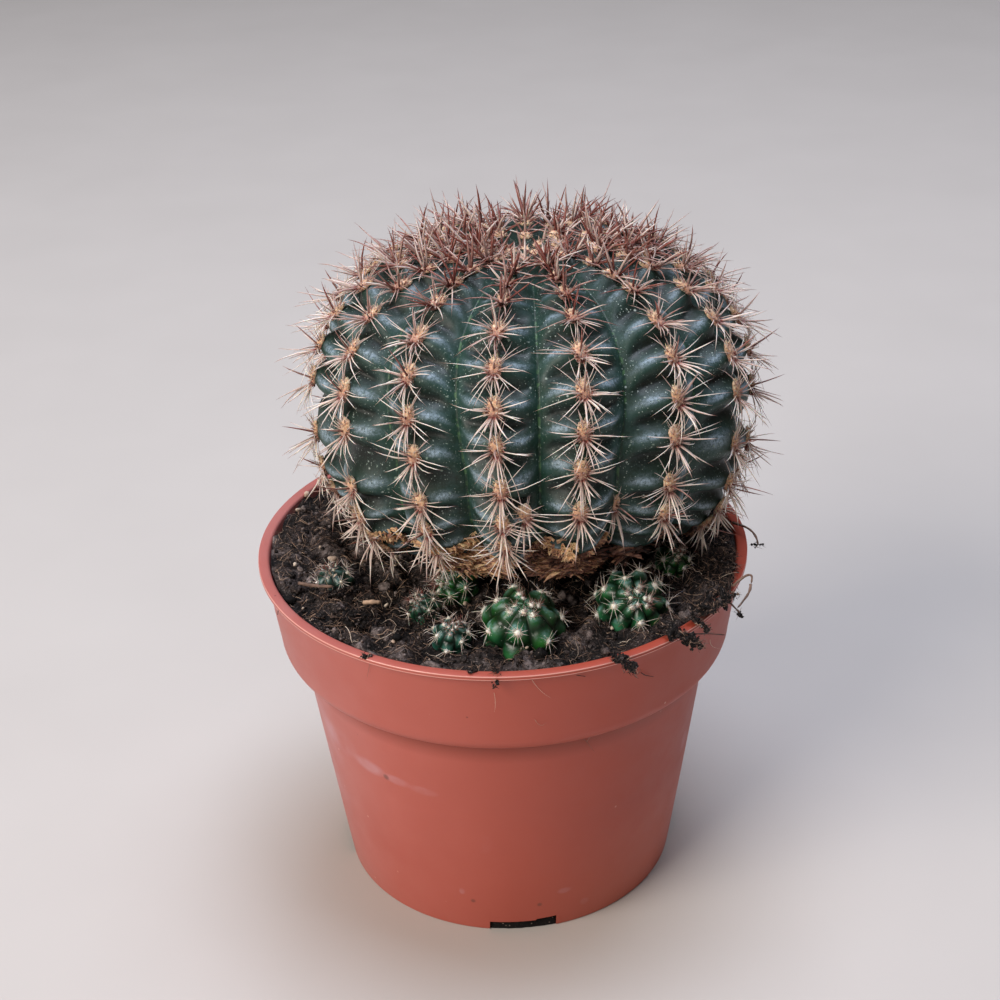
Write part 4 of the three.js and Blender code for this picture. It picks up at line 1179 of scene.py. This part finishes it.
def makeDryTissue():
    p = dryTissue
    draw = np.random.default_rng(p["seed"])
    parts, tones = [], []

    def addFlakes(centre, out, tone, widths, heights, curl):
        count = len(centre)
        lift = draw.uniform(*p["lift"], count) + 0.4 * lumpy(centre, 2.5, 4)
        outs = unit(out + draw.normal(0, 0.16, (count, 3)))
        points, faces, each = flakes(centre + out * lift[:, None], outs, draw.uniform(*widths, count),
                                     draw.uniform(*heights, count), curl, draw)
        parts.append((points, faces))
        tones.append(np.repeat(tone + 0.22 * lumpy(centre, 3, 8) + draw.normal(0, 0.17, count), each))

    for firstRib, lastRib, low, high, count, tone, widths, heights in p["onSkin"]:
        rib = mix(firstRib, lastRib, draw.random(count))
        wavy = 0.5 + 0.5 * lumpy(np.stack([rib * 9, 0 * rib, 0 * rib], -1), 2.5, 7)
        even = mix(low, high - 0.35 * (high - low) * wavy, draw.random(count))
        addFlakes(ballSurface(rib, even)[0], outwardOf(rib, even), tone, widths, heights, 1.0)
    for firstRib, lastRib, radius, z, count, tone in p["skirt"]:
        rib = mix(firstRib, lastRib, draw.random(count))
        top = ballSurface(rib, np.full_like(rib, -38.0))[0]
        turn = ribTurn(rib, 0)
        across = onRing(1, turn, 0)
        foot = np.array([ball["centre"][0], ball["centre"][1], z]) + radius * across
        down = draw.random(count)[:, None]
        centre = mix(top, foot, down) + across * (1.5 * np.sin(np.pi * down))
        addFlakes(centre, unit(across + [0, 0, 0.15]), tone, (3.0, 8.0), (0.3, 0.8), 0.5)
    points, faces = together(*parts)
    addPiece("dryFootSkin", points, faces, corkLayers(), {"tone": np.concatenate(tones)}, crease=50)


print("dry skin")
makeDryTissue()


# Woolly cushions along the ribs, and the spines that stand in them

def ballCushions():  # one entry a cushion: its place and its outward, sideways and upward directions
    p = ball
    rib, row = np.meshgrid(np.arange(p["ribs"]), np.arange(p["rows"][0] + 1, p["rows"][1] + 1), indexing="ij")
    rib, row = rib.ravel(), row.ravel()
    even = areoleOffset(rib) + row * p["pitch"]
    kept = ballOutline(np.radians(crowded(even)), 0)[0] > p["crownSeedReach"]
    for corkyRib, lowest in p["lowestCushions"].items():
        kept = kept & ((rib != corkyRib) | (even > lowest))
    strayRibs, strayPlaces = zip(*p["strayCushions"])
    seed = np.arange(p["crownSeeds"]) + 0.5
    inner = p["crownSeedReach"] * np.sqrt(seed / p["crownSeeds"]) / p["radius"]
    inner = np.degrees(np.arccos(inner ** (1 / p["upper"][1])))
    counts, latitudes = zip(*p["crowding"])
    rib = np.concatenate([rib[kept], (seed * 0.382 * p["ribs"]) % p["ribs"], strayRibs])
    even = np.concatenate([even[kept], np.interp(inner, latitudes, counts), strayPlaces])
    out = outwardOf(rib, even)
    side, up = sideAndUp(out)
    return {"at": ballSurface(rib, even)[0], "out": out, "side": side, "up": up, "latitude": crowded(even)}


wool = {
    "halfWidth": 1.6,
    "halfHeight": 2.7,
    "crownShare": 0.9,
    "young": (45, 78),  # latitudes between which the cushions and spines turn into young ones
    "dome": 0.75,
    "padShare": 1,  # size of the felt under the fibres, against the tuft
    "padAlong": 0.2,
    "fibres": 125,
    "fibreLength": (0.7, 1.6),
    "fibreRadius": 0.105,
    "whiter": 0,
    "cleaner": 0,  # less of the brown at the foot of the fibres
    "seed": 31,
}


def feltWool(name, ramp, sheen):  # plant wool: matted fine hairs, so it is matt and glows at the edges
    material, tree, place, tone, along = newMaterial(
        name, ["tone", "along"], Roughness=0.85, IOR=1.5, Sheen_Weight=sheen, Sheen_Roughness=0.5,
        Subsurface_Weight=0.15, Subsurface_Scale=0.0006)
    base = paint(
        tree, toned(tree, tone, grainy(tree, place, (0.6, 3), 0.3, 0.7, -0.25, 0.25), ramp),
        ((along, 0.0, 0.5, 0.35, 0.0), "#6A4634"),
        ([spots(tree, place, 0.55, 0.3, 0.3), 0.55], "#53352A"),
        ([spots(tree, place, 0.7, 0.32, 0.3), 0.6], "#FBEFD6"),
    )
    wire(tree, Base_Color=base, Normal=relief(tree, place, ((0.3, 3), 0.15, 0.7)))
    return material


def tufts(cushions, halfWidth, halfHeight, p, draw):
    # short straight fibres that fan out of each cushion, with the place that sets their tone
    many, count = len(cushions["at"]), p["fibres"]
    spread = np.sqrt(draw.random((many, count)))
    angle = tau * draw.random((many, count))
    across, along = spread * np.cos(angle), spread * np.sin(angle)
    axes = [cushions[key][:, None] for key in ("side", "up", "out")]
    root = cushions["at"][:, None] + axes[0] * (across * halfWidth[:, None])[..., None]
    root = root + axes[1] * (along * halfHeight[:, None])[..., None]
    root = root + axes[2] * (p["dome"] * (1 - spread ** 2) - 0.3)[..., None]
    lean = axes[0] * (across * 1.5 + draw.normal(0, 0.4, across.shape))[..., None]
    lean = lean + axes[1] * (along * 1.3 + draw.normal(0, 0.4, along.shape))[..., None]
    reach = mix(*p["fibreLength"], draw.random((many, count))) * (halfHeight / halfHeight.max())[:, None]
    tip = root + unit(axes[2] + lean) * reach[..., None]
    paths = np.stack([root, tip], 2).reshape(-1, 2, 3)
    radii = np.broadcast_to([p["fibreRadius"], 0.0], (many * count, 2))
    points, faces, share, perRod = rods(paths, radii, 3)
    tone = 0.5 - 0.5 * along + draw.normal(0, 0.2, along.shape)
    return points, faces, share, np.repeat(tone.ravel(), perRod)


def domes(cushions, halfWidth, halfHeight, dome, draw):  # the felt under the fibres
    rings, columns = [(1.0, -0.5), (0.92, 0.25), (0.7, 0.75), (0.35, 1.0)], 14
    angle = tau * np.arange(columns) / columns
    parts = []
    for share, high in rings:
        uneven = 1 + draw.normal(0, 0.07, (len(cushions["at"]), columns))
        across = share * np.cos(angle) * uneven * halfWidth[:, None]
        along = share * np.sin(angle) * uneven * halfHeight[:, None]
        lift = high * dome * (1 + draw.normal(0, 0.1, across.shape))
        moved = [cushions[key][:, None] * far[..., None] for key, far in (("side", across), ("up", along))]
        parts.append(cushions["at"][:, None] + sum(moved) + cushions["out"][:, None] * lift[..., None])
    top = cushions["at"] + cushions["out"] * dome * 1.05
    bottom = cushions["at"] - cushions["out"] * dome * 0.7
    points = np.concatenate([bottom[:, None], *parts, top[:, None]], 1)
    one = turnedFaces(len(rings), columns)
    faces = []
    for cushion in range(len(points)):
        faces += [[cushion * points.shape[1] + corner for corner in face] for face in one]
    tone = np.concatenate([[0.5], *[0.5 - 0.5 * share * np.sin(angle) for share, _ in rings], [0.5]])
    return points.reshape(-1, 3), faces, np.tile(tone, len(points))


def addWool(name, cushions, halfWidth, halfHeight, p, material, draw):
    share = p["padShare"]
    padPoints, padFaces, padTone = domes(cushions, halfWidth * share, halfHeight * share, p["dome"], draw)
    points, faces, along, tone = tufts(cushions, halfWidth, halfHeight, p, draw)
    points, faces = together((padPoints, padFaces), (points, faces))
    marks = {"tone": np.concatenate([padTone, tone]) - p["whiter"],
             "along": np.concatenate([p["padAlong"] + 0 * padTone, along]) + p["cleaner"]}
    addPiece(name, points, faces, material, marks)


def makeAreoles(cushions):
    p = wool
    draw = np.random.default_rng(p["seed"])
    young = ease(cushions["latitude"], *p["young"])
    scale = mix(1, p["crownShare"], young) * (1 + draw.normal(0, 0.06, len(young)))
    halfWidth, halfHeight = p["halfWidth"] * scale, p["halfHeight"] * mix(scale, scale * 0.8, young)
    felt = feltWool("areole wool", [
        (0.0, "#FFE2BE"), (0.35, "#EDBE96"), (0.65, "#CC9A86"), (1.0, "#8F625C")], 0.35)
    addWool("areoleWool", cushions, halfWidth, halfHeight, p, felt, draw)


spines = {
    # first and last direction round the cushion, spines when old and young, tilt, length, root radius, tone
    "fans": [
        (203, 337, 7, 3, 66, 8.6, 0.155, 0.0),
        (166, 203, 2, 1, 72, 9.2, 0.145, 0.05),
        (-23, 14, 2, 1, 72, 9.2, 0.145, 0.05),
        (18, 162, 8, 3, 66, 7.0, 0.115, 0.35),
        (232, 308, 3, 2, 34, 10.0, 0.25, 0.3),
        (50, 130, 1, 2, 24, 9.4, 0.24, 0.85),
        (150, 390, 4, 3, 42, 9.0, 0.2, 0.35),
        (0, 360, 8, 3, 48, 2.9, 0.17, 0.55),
    ],
    "lowShare": 0.3,  # of the spines left on the cushions under the ball
    "lowFade": (-44.0, -27.0),
    "lowRoot": 0.55,  # the middle spines stand in the lower half of the cushion
    "turnJitter": 7.0,
    "tiltJitter": 8.0,
    "crownTilt": 0.92,
    "crownLength": 1.0,
    "crownThickness": 1.35,
    "redder": (25, 66),
    "innermost": (80.0, 88.0),  # latitudes between which the spines of the middle get short
    "shrink": 0.62,
    "reach": (0.66, 1.14),
    "bend": (0.1, 0.42),
    "waver": 0.11,  # random bend beside the backward one
    "thicknesses": (0.85, 1.15),
    "flatTilt": 66,  # from this tilt on a spine stands at the cushion's edge
    "inset": 0.7,
    "redShare": 0.6,  # of the young spines, the others are tan
    "tanTone": 0.45,
    "toneSpread": 0.12,
    "steps": [0, 0.12, 0.42, 0.74, 1],
    "taper": [1.3, 1.0, 0.86, 0.52, 0],
    "halves": 24,  # latitude between the two pieces
    "sides": 4,
    "seed": 77,
}


def spineHorn():  # dead, dry spine tissue: hard and satin, cream when old and red-brown when young
    material, tree, place, along, tone = newMaterial(
        "dry spine tissue", ["along", "tone"], IOR=1.53, Roughness=0.42, Subsurface_Weight=0.1,
        Subsurface_Scale=0.0005)
    old, young = [addNode(tree, "ValToRGB", {0: along}, stops) for stops in (
        [(0.0, "#6B3033"), (0.12, "#A2645C"), (0.32, "#EAD6C8"), (0.7, "#FAF1E8"), (1.0, "#C08F80")],
        [(0.0, "#6A2C24"), (0.3, "#64302A"), (0.65, "#8A4C40"), (1.0, "#4A2320")],
    )]
    youth = addNode(tree, "Math", {0: tone, 1: grainy(tree, place, (1.5, 2), 0.3, 0.7, -0.12, 0.12)},
                    operation="ADD", use_clamp=True)
    wire(tree, Base_Color=paint(tree, old, (youth, young)),
         Normal=relief(tree, place, ((0.25, 2), 0.04, 0.4)))
    return material


def spinePaths(cushions, draw):
    p = spines
    steps, taper = np.array(p["steps"]), np.array(p["taper"])
    paths, radii, tones = [], [], []
    for at, out, side, up, latitude in zip(*cushions.values()):
        high = float(ease(latitude, *wool["young"]))
        red = float(ease(latitude, *p["redder"]))
        full = mix(p["lowShare"], 1, float(ease(latitude, *p["lowFade"])))
        pad = mix(1, wool["crownShare"], high)
        small = 1 - p["shrink"] * float(ease(latitude, *p["innermost"]))
        for first, last, oldCount, youngCount, tilt, length, radius, tone in p["fans"]:
            count = round(mix(oldCount * full, youngCount * small, high))
            for number in range(count):
                around = mix(first, last, (number + 0.5) / count) + draw.normal(0, p["turnJitter"])
                around = math.radians(around)
                lean = math.radians(tilt * mix(1, p["crownTilt"], high) + draw.normal(0, p["tiltJitter"]))
                towards = side * math.cos(around) + up * math.sin(around)
                heading = out * math.cos(lean) + towards * math.sin(lean)
                reach = length * draw.uniform(*p["reach"]) * mix(1, p["crownLength"] * small, high)
                inset = min(tilt / p["flatTilt"], 1) * p["inset"]
                root = at + side * math.cos(around) * wool["halfWidth"] * pad * inset
                lift = wool["halfHeight"] * pad * (math.sin(around) * inset - p["lowRoot"] * (1 - inset))
                root = root + up * lift + out * 0.3
                bend = -out * draw.uniform(*p["bend"]) * math.sin(lean) + draw.normal(0, p["waver"], 3)
                paths.append(root + heading * (reach * steps)[:, None] + bend * (reach * steps ** 2)[:, None])
                thick = radius * draw.uniform(*p["thicknesses"]) * mix(1, p["crownThickness"], high)
                radii.append(thick * taper)
                dark = 1.0 if draw.random() < p["redShare"] else p["tanTone"]
                tones.append(mix(tone, dark, 0.9 * red) + draw.normal(0, p["toneSpread"]))
    return np.array(paths), np.array(radii), np.array(tones)


def makeSpines(cushions):
    draw = np.random.default_rng(spines["seed"])
    horn = spineHorn()
    low = cushions["latitude"] < spines["halves"]
    for name, kept in (("lowerSpines", low), ("upperSpines", ~low)):
        some = {key: values[kept] for key, values in cushions.items()}
        paths, radii, tones = spinePaths(some, draw)
        points, faces, along, perRod = rods(paths, radii, spines["sides"])
        addPiece(name, points, faces, horn, {"along": along, "tone": np.repeat(tones, perRod)})


print("areoles and spines")
cushionsOnBall = ballCushions()
makeAreoles(cushionsOnBall)
makeSpines(cushionsOnBall)


# Pups at the foot

pups = [  # name, replaced node, centre, radius, crown direction, ribs, share of teal, spine length, dimness
    ("frontPup", "pup_front", (4.1, -40.2, 87.6), 9.9, (0.02, -0.36, 0.93), 7, 0.25, 4.0, 0),
    ("rightPup", "pup_right", (29.3, -32.4, 88.0), 8.7, (0.14, -0.7, 0.7), 9, 0.45, 4.6, 0),
    ("leftPup", "pup_left", (-10.9, -22.4, 88.6), 5.5, (-0.8, -0.35, 0.5), 8, 0.1, 4.2, 0.1),
    ("lowLeftPup", "pup_low_left", (-12.2, -43.4, 87.6), 4.6, (0.1, -0.34, 0.93), 7, 0.9, 3.4, 0.1),
    ("shadedPup", "pup_shaded", (-18.4, -31.0, 87.4), 4.3, (-0.4, -0.3, 0.86), 7, 0.6, 3.6, 0.5),
    ("farRightPup", "pup_far_right", (40.4, -14.4, 89.0), 4.4, (0.3, -0.5, 0.8), 7, 0.1, 3.2, 0.1),
    ("farLeftPup", "pup_far_left", (-40.2, -17.6, 87.2), 4.8, (-0.2, -0.2, 0.95), 7, 0.85, 3.0, 0.75),
]
pupForm = {
    "flatness": 0.94,
    "ribDepth": 0.17,
    "grooveDepth": 0.075,
    "creaseDepth": 0.06,
    "creaseWidth": 0.07,
    "creaseSharpness": 1.4,
    "grooveEnds": (0.3, 0.5),
    "pitch": (42.0, 52.0),  # degrees between cushions along a rib, on the largest pup and on the small ones
    "sizes": (9.0, 5.5),
    "firstAreole": -14.0,
    "perRib": 14,
    "latitudes": (-81, 88, 3.3),  # of the skin's rows: first, end and step
    "halfTuft": 0.92,
    "tuftSizes": (0.75, 1.15),
    "dome": 0.5,
    "padShare": 0.8,
    "padAlong": 0.3,
    "fibres": 85,
    "fibreLength": (0.35, 0.95),
    "fibreRadius": 0.07,
    "cleaner": 0.3,
    "spineRadius": 0.055,
    "steps": [0, 0.35, 0.7, 1],
    "taper": [1.2, 1, 0.7, 0],
    "crownTufts": 4,
    "crownAt": 79,  # latitude
    "youngAbove": 60,
    "clearOfPeat": 0.6,
    "tuftSpines": (11, 10),  # on the sides and on the crown
    "tilts": ((48, 80), (8, 55)),
    "turnJitter": 0.3,  # of the way between two spines
    "reach": (0.5, 1.1),
    "crownReach": 0.75,
    "bend": 0.14,
    "droop": [0, 0, -0.08],
    "youngTones": [0.95, 0.45],
    "toneSpread": (0.1, 0.15),
    "whiter": 0.42,
    "seed": 12,
}


def pupPitch(radius):
    large, small = pupForm["sizes"]
    return mix(*pupForm["pitch"], float(np.clip((large - radius) / (large - small), 0, 1)))


def pupSurface(radius, ribs, rib, latitude):  # about the pup's own centre, crown up
    p = pupForm
    pitch = pupPitch(radius)
    across = np.abs(rib - np.round(rib))
    start = np.where(np.round(rib) % 2 == 0, 0, pitch / 2)
    phase = ((latitude - p["firstAreole"] - start) / pitch) % 1.0
    between = (1 - np.cos(tau * phase)) / 2
    fade = np.cos(np.radians(latitude)) ** 0.7
    reach = 1 - ease(across, *p["grooveEnds"])
    crease, valley = [np.exp(-np.abs((place - 0.5) / p["creaseWidth"]) ** p["creaseSharpness"])
                      for place in (phase, across)]
    crease = crease * reach
    r = radius * (1 - fade * (p["ribDepth"] * (2 * across) ** 2 + p["grooveDepth"] * between * reach
                              + p["creaseDepth"] * np.maximum(crease, valley)))
    turn = tau * rib / ribs
    flat = np.cos(np.radians(latitude))
    points = onRing(r * flat, turn, p["flatness"] * r * np.sin(np.radians(latitude)))
    return points, {"crest": (1 - between) * (1 - (2 * across) ** 2),
                    "crease": np.maximum(crease, valley) * fade}


def youngCuticle():  # soft new skin: brighter green, thinner wax, so it shines more than the mother's
    material, tree, place, crest, teal, dim, crease = newMaterial(
        "young cactus cuticle", ["crest", "teal", "dim", "crease"], IOR=1.45, Coat_Weight=0.2,
        Coat_Roughness=0.25, Subsurface_Weight=0.12, Subsurface_Scale=0.0015)
    # the crest mark darkens the grooves and valleys as painted shade
    green, blue = [addNode(tree, "ValToRGB", {0: crest}, stops) for stops in (
        [(0.0, "#0F3312"), (0.5, "#1E591D"), (1.0, "#367E31")],
        [(0.0, "#0A2B24"), (0.5, "#184C40"), (1.0, "#3A786C")],
    )]
    facing = addNode(tree, "SeparateXYZ", {0: addNode(tree, "NewGeometry", out="Normal")}, out=2)
    # painted highlight: pale bluish on the swellings' faces that look up
    topHighlight = [grainy(tree, place, (1.6, 5, 0.7), 0.4, 0.62), (facing, 0.2, 0.7), (crest, 0.1, 0.6), 0.6]
    base = paint(
        tree, green, (teal, blue), (topHighlight, "#8FB4BC"),
        ([dim, 0.85], "#152B27"),  # painted shade, most on the pups that lie in shadow
        # painted shade in the creases and valleys
        ([crease, 0.85], "#061509"),
        ([spots(tree, place, 1.1, 0.2, 0.35), 0.75], "#C9DAC8"),
    )
    wire(tree, Base_Color=base, Roughness=grainy(tree, place, (2, 3), 0.3, 0.7, 0.28, 0.42),
         Normal=relief(tree, place, ((0.5, 3), 0.08, 0.5)))
    return material


def pupFrame(centre, crown):
    turn = Vector((0, 0, 1)).rotation_difference(Vector(crown).normalized())
    return np.array(turn.to_matrix()), np.array(centre)


def makePupSkin(skin, name, node, centre, radius, crown, ribs, teal, dimness):
    p = pupForm
    turn, middle = pupFrame(centre, crown)
    columns = ribs * p["perRib"]
    latitudes = np.arange(*p["latitudes"])
    latitude, rib = np.meshgrid(latitudes, np.arange(columns) / p["perRib"], indexing="ij")
    points, marks = pupSurface(radius, ribs, rib, latitude)
    high = p["flatness"] * radius
    local = np.concatenate([[[0, 0, -high]], points.reshape(-1, 3), [[0, 0, high]]])
    local = local * (1 + 0.02 * lumpy(local + 50 * radius, 3, 4))[:, None]
    marks = {key: np.concatenate([[0], values.ravel(), [0]]) for key, values in marks.items()}
    marks["teal"] = np.clip(teal + 0.25 * lumpy(local, 5, 6), 0, 1)
    marks["dim"] = np.full(len(local), float(dimness))
    faces = turnedFaces(len(latitudes), columns)
    addPiece(name, local @ turn.T + middle, faces, skin, marks, [node])


def pupTufts(centre, radius, crown, ribs):  # the tufts that stand clear of the peat, and which are young
    p = pupForm
    turn, middle = pupFrame(centre, crown)
    places = [(rib, p["firstAreole"] + pupPitch(radius) * (row + rib % 2 / 2)) for rib in range(ribs)
              for row in range(3)]
    places = [(rib, latitude) for rib, latitude in places if latitude < p["crownAt"] - 3]
    places += [(ribs * number / p["crownTufts"], p["crownAt"]) for number in range(p["crownTufts"])]
    for rib, latitude in places:
        spot = pupSurface(radius, ribs, np.array([float(rib)]), np.array([float(latitude)]))[0][0]
        at, out = spot @ turn.T + middle, unit(spot) @ turn.T
        if at[2] >= float(peatHeight(at[0], at[1])) + p["clearOfPeat"]:
            side, up = sideAndUp(out, turn @ [0, 0, 1.0])
            yield {"at": at, "out": out, "side": side, "up": up}, latitude > p["youngAbove"]


def pupNeedles(tuft, youth, spineLength, draw):  # path and tone of each spine in a tuft
    p = pupForm
    at, out, side, up = tuft.values()
    steps = np.array(p["steps"])
    count = p["tuftSpines"][youth]
    for spine in range(count):
        around = tau * (spine + draw.uniform(-p["turnJitter"], p["turnJitter"])) / count
        lean = math.radians(draw.uniform(*p["tilts"][youth]))
        towards = side * math.cos(around) + up * math.sin(around)
        heading = out * math.cos(lean) + towards * math.sin(lean)
        reach = spineLength * draw.uniform(*p["reach"]) * (p["crownReach"] if youth else 1)
        bend = draw.normal(0, p["bend"], 3) + p["droop"]
        path = at + heading * (reach * steps)[:, None] + bend * (reach * steps ** 2)[:, None]
        yield path, np.clip(youth * draw.choice(p["youngTones"]) + draw.normal(*p["toneSpread"]), 0, 1)


def makePups():
    p = pupForm
    skin = youngCuticle()
    draw = np.random.default_rng(p["seed"])
    roots, half, needles = [], [], []
    for name, node, centre, radius, crown, ribs, teal, spineLength, dimness in pups:
        makePupSkin(skin, name, node, centre, radius, crown, ribs, teal, dimness)
        for tuft, youth in pupTufts(centre, radius, crown, ribs):
            roots.append(tuft)
            size = p["halfTuft"] * (radius / pups[0][3]) ** 0.6 * draw.uniform(*p["tuftSizes"])
            half.append(size * (1 - 0.4 * dimness) * (0.85 if youth else 1))
            needles += pupNeedles(tuft, youth, spineLength, draw)
    roots = {key: np.array([tuft[key] for tuft in roots]) for key in roots[0]}
    fluff = feltWool("young areole wool", [(0.0, "#FFFAF0"), (0.6, "#F8E8D0"), (1.0, "#E2C6A2")], 0.4)
    addWool("pupWool", roots, np.array(half), np.array(half), p, fluff, draw)
    paths, tones = zip(*needles)
    radii = np.tile(p["spineRadius"] * np.array(p["taper"]), (len(paths), 1))
    points, faces, along, perRod = rods(np.array(paths), radii, 4)
    addPiece("pupSpines", points, faces, bpy.data.materials["dry spine tissue"],
             {"along": 0.2 + 0.6 * along, "tone": np.repeat(np.array(tones), perRod)})


print("pups")
makePups()


print("loose peat")
makeCrumbs(dampPeat)
makeNotchShade(dampPeat)
mossFibre = dryFibre("dead moss fibre", [
    (0.0, "#17100D"), (0.35, "#3A2B25"), (0.7, "#8A6E5E"), (1.0, "#C9A98E")])
makeFibres(mossFibre)
rootHair = dryFibre("fine root hair", [(0.0, "#4A3830"), (0.5, "#A58B78"), (1.0, "#E3D2BE")])
makeFineRoots(rootHair)
makeGrains(rootHair)
makeBits(dampPeat, mossFibre)
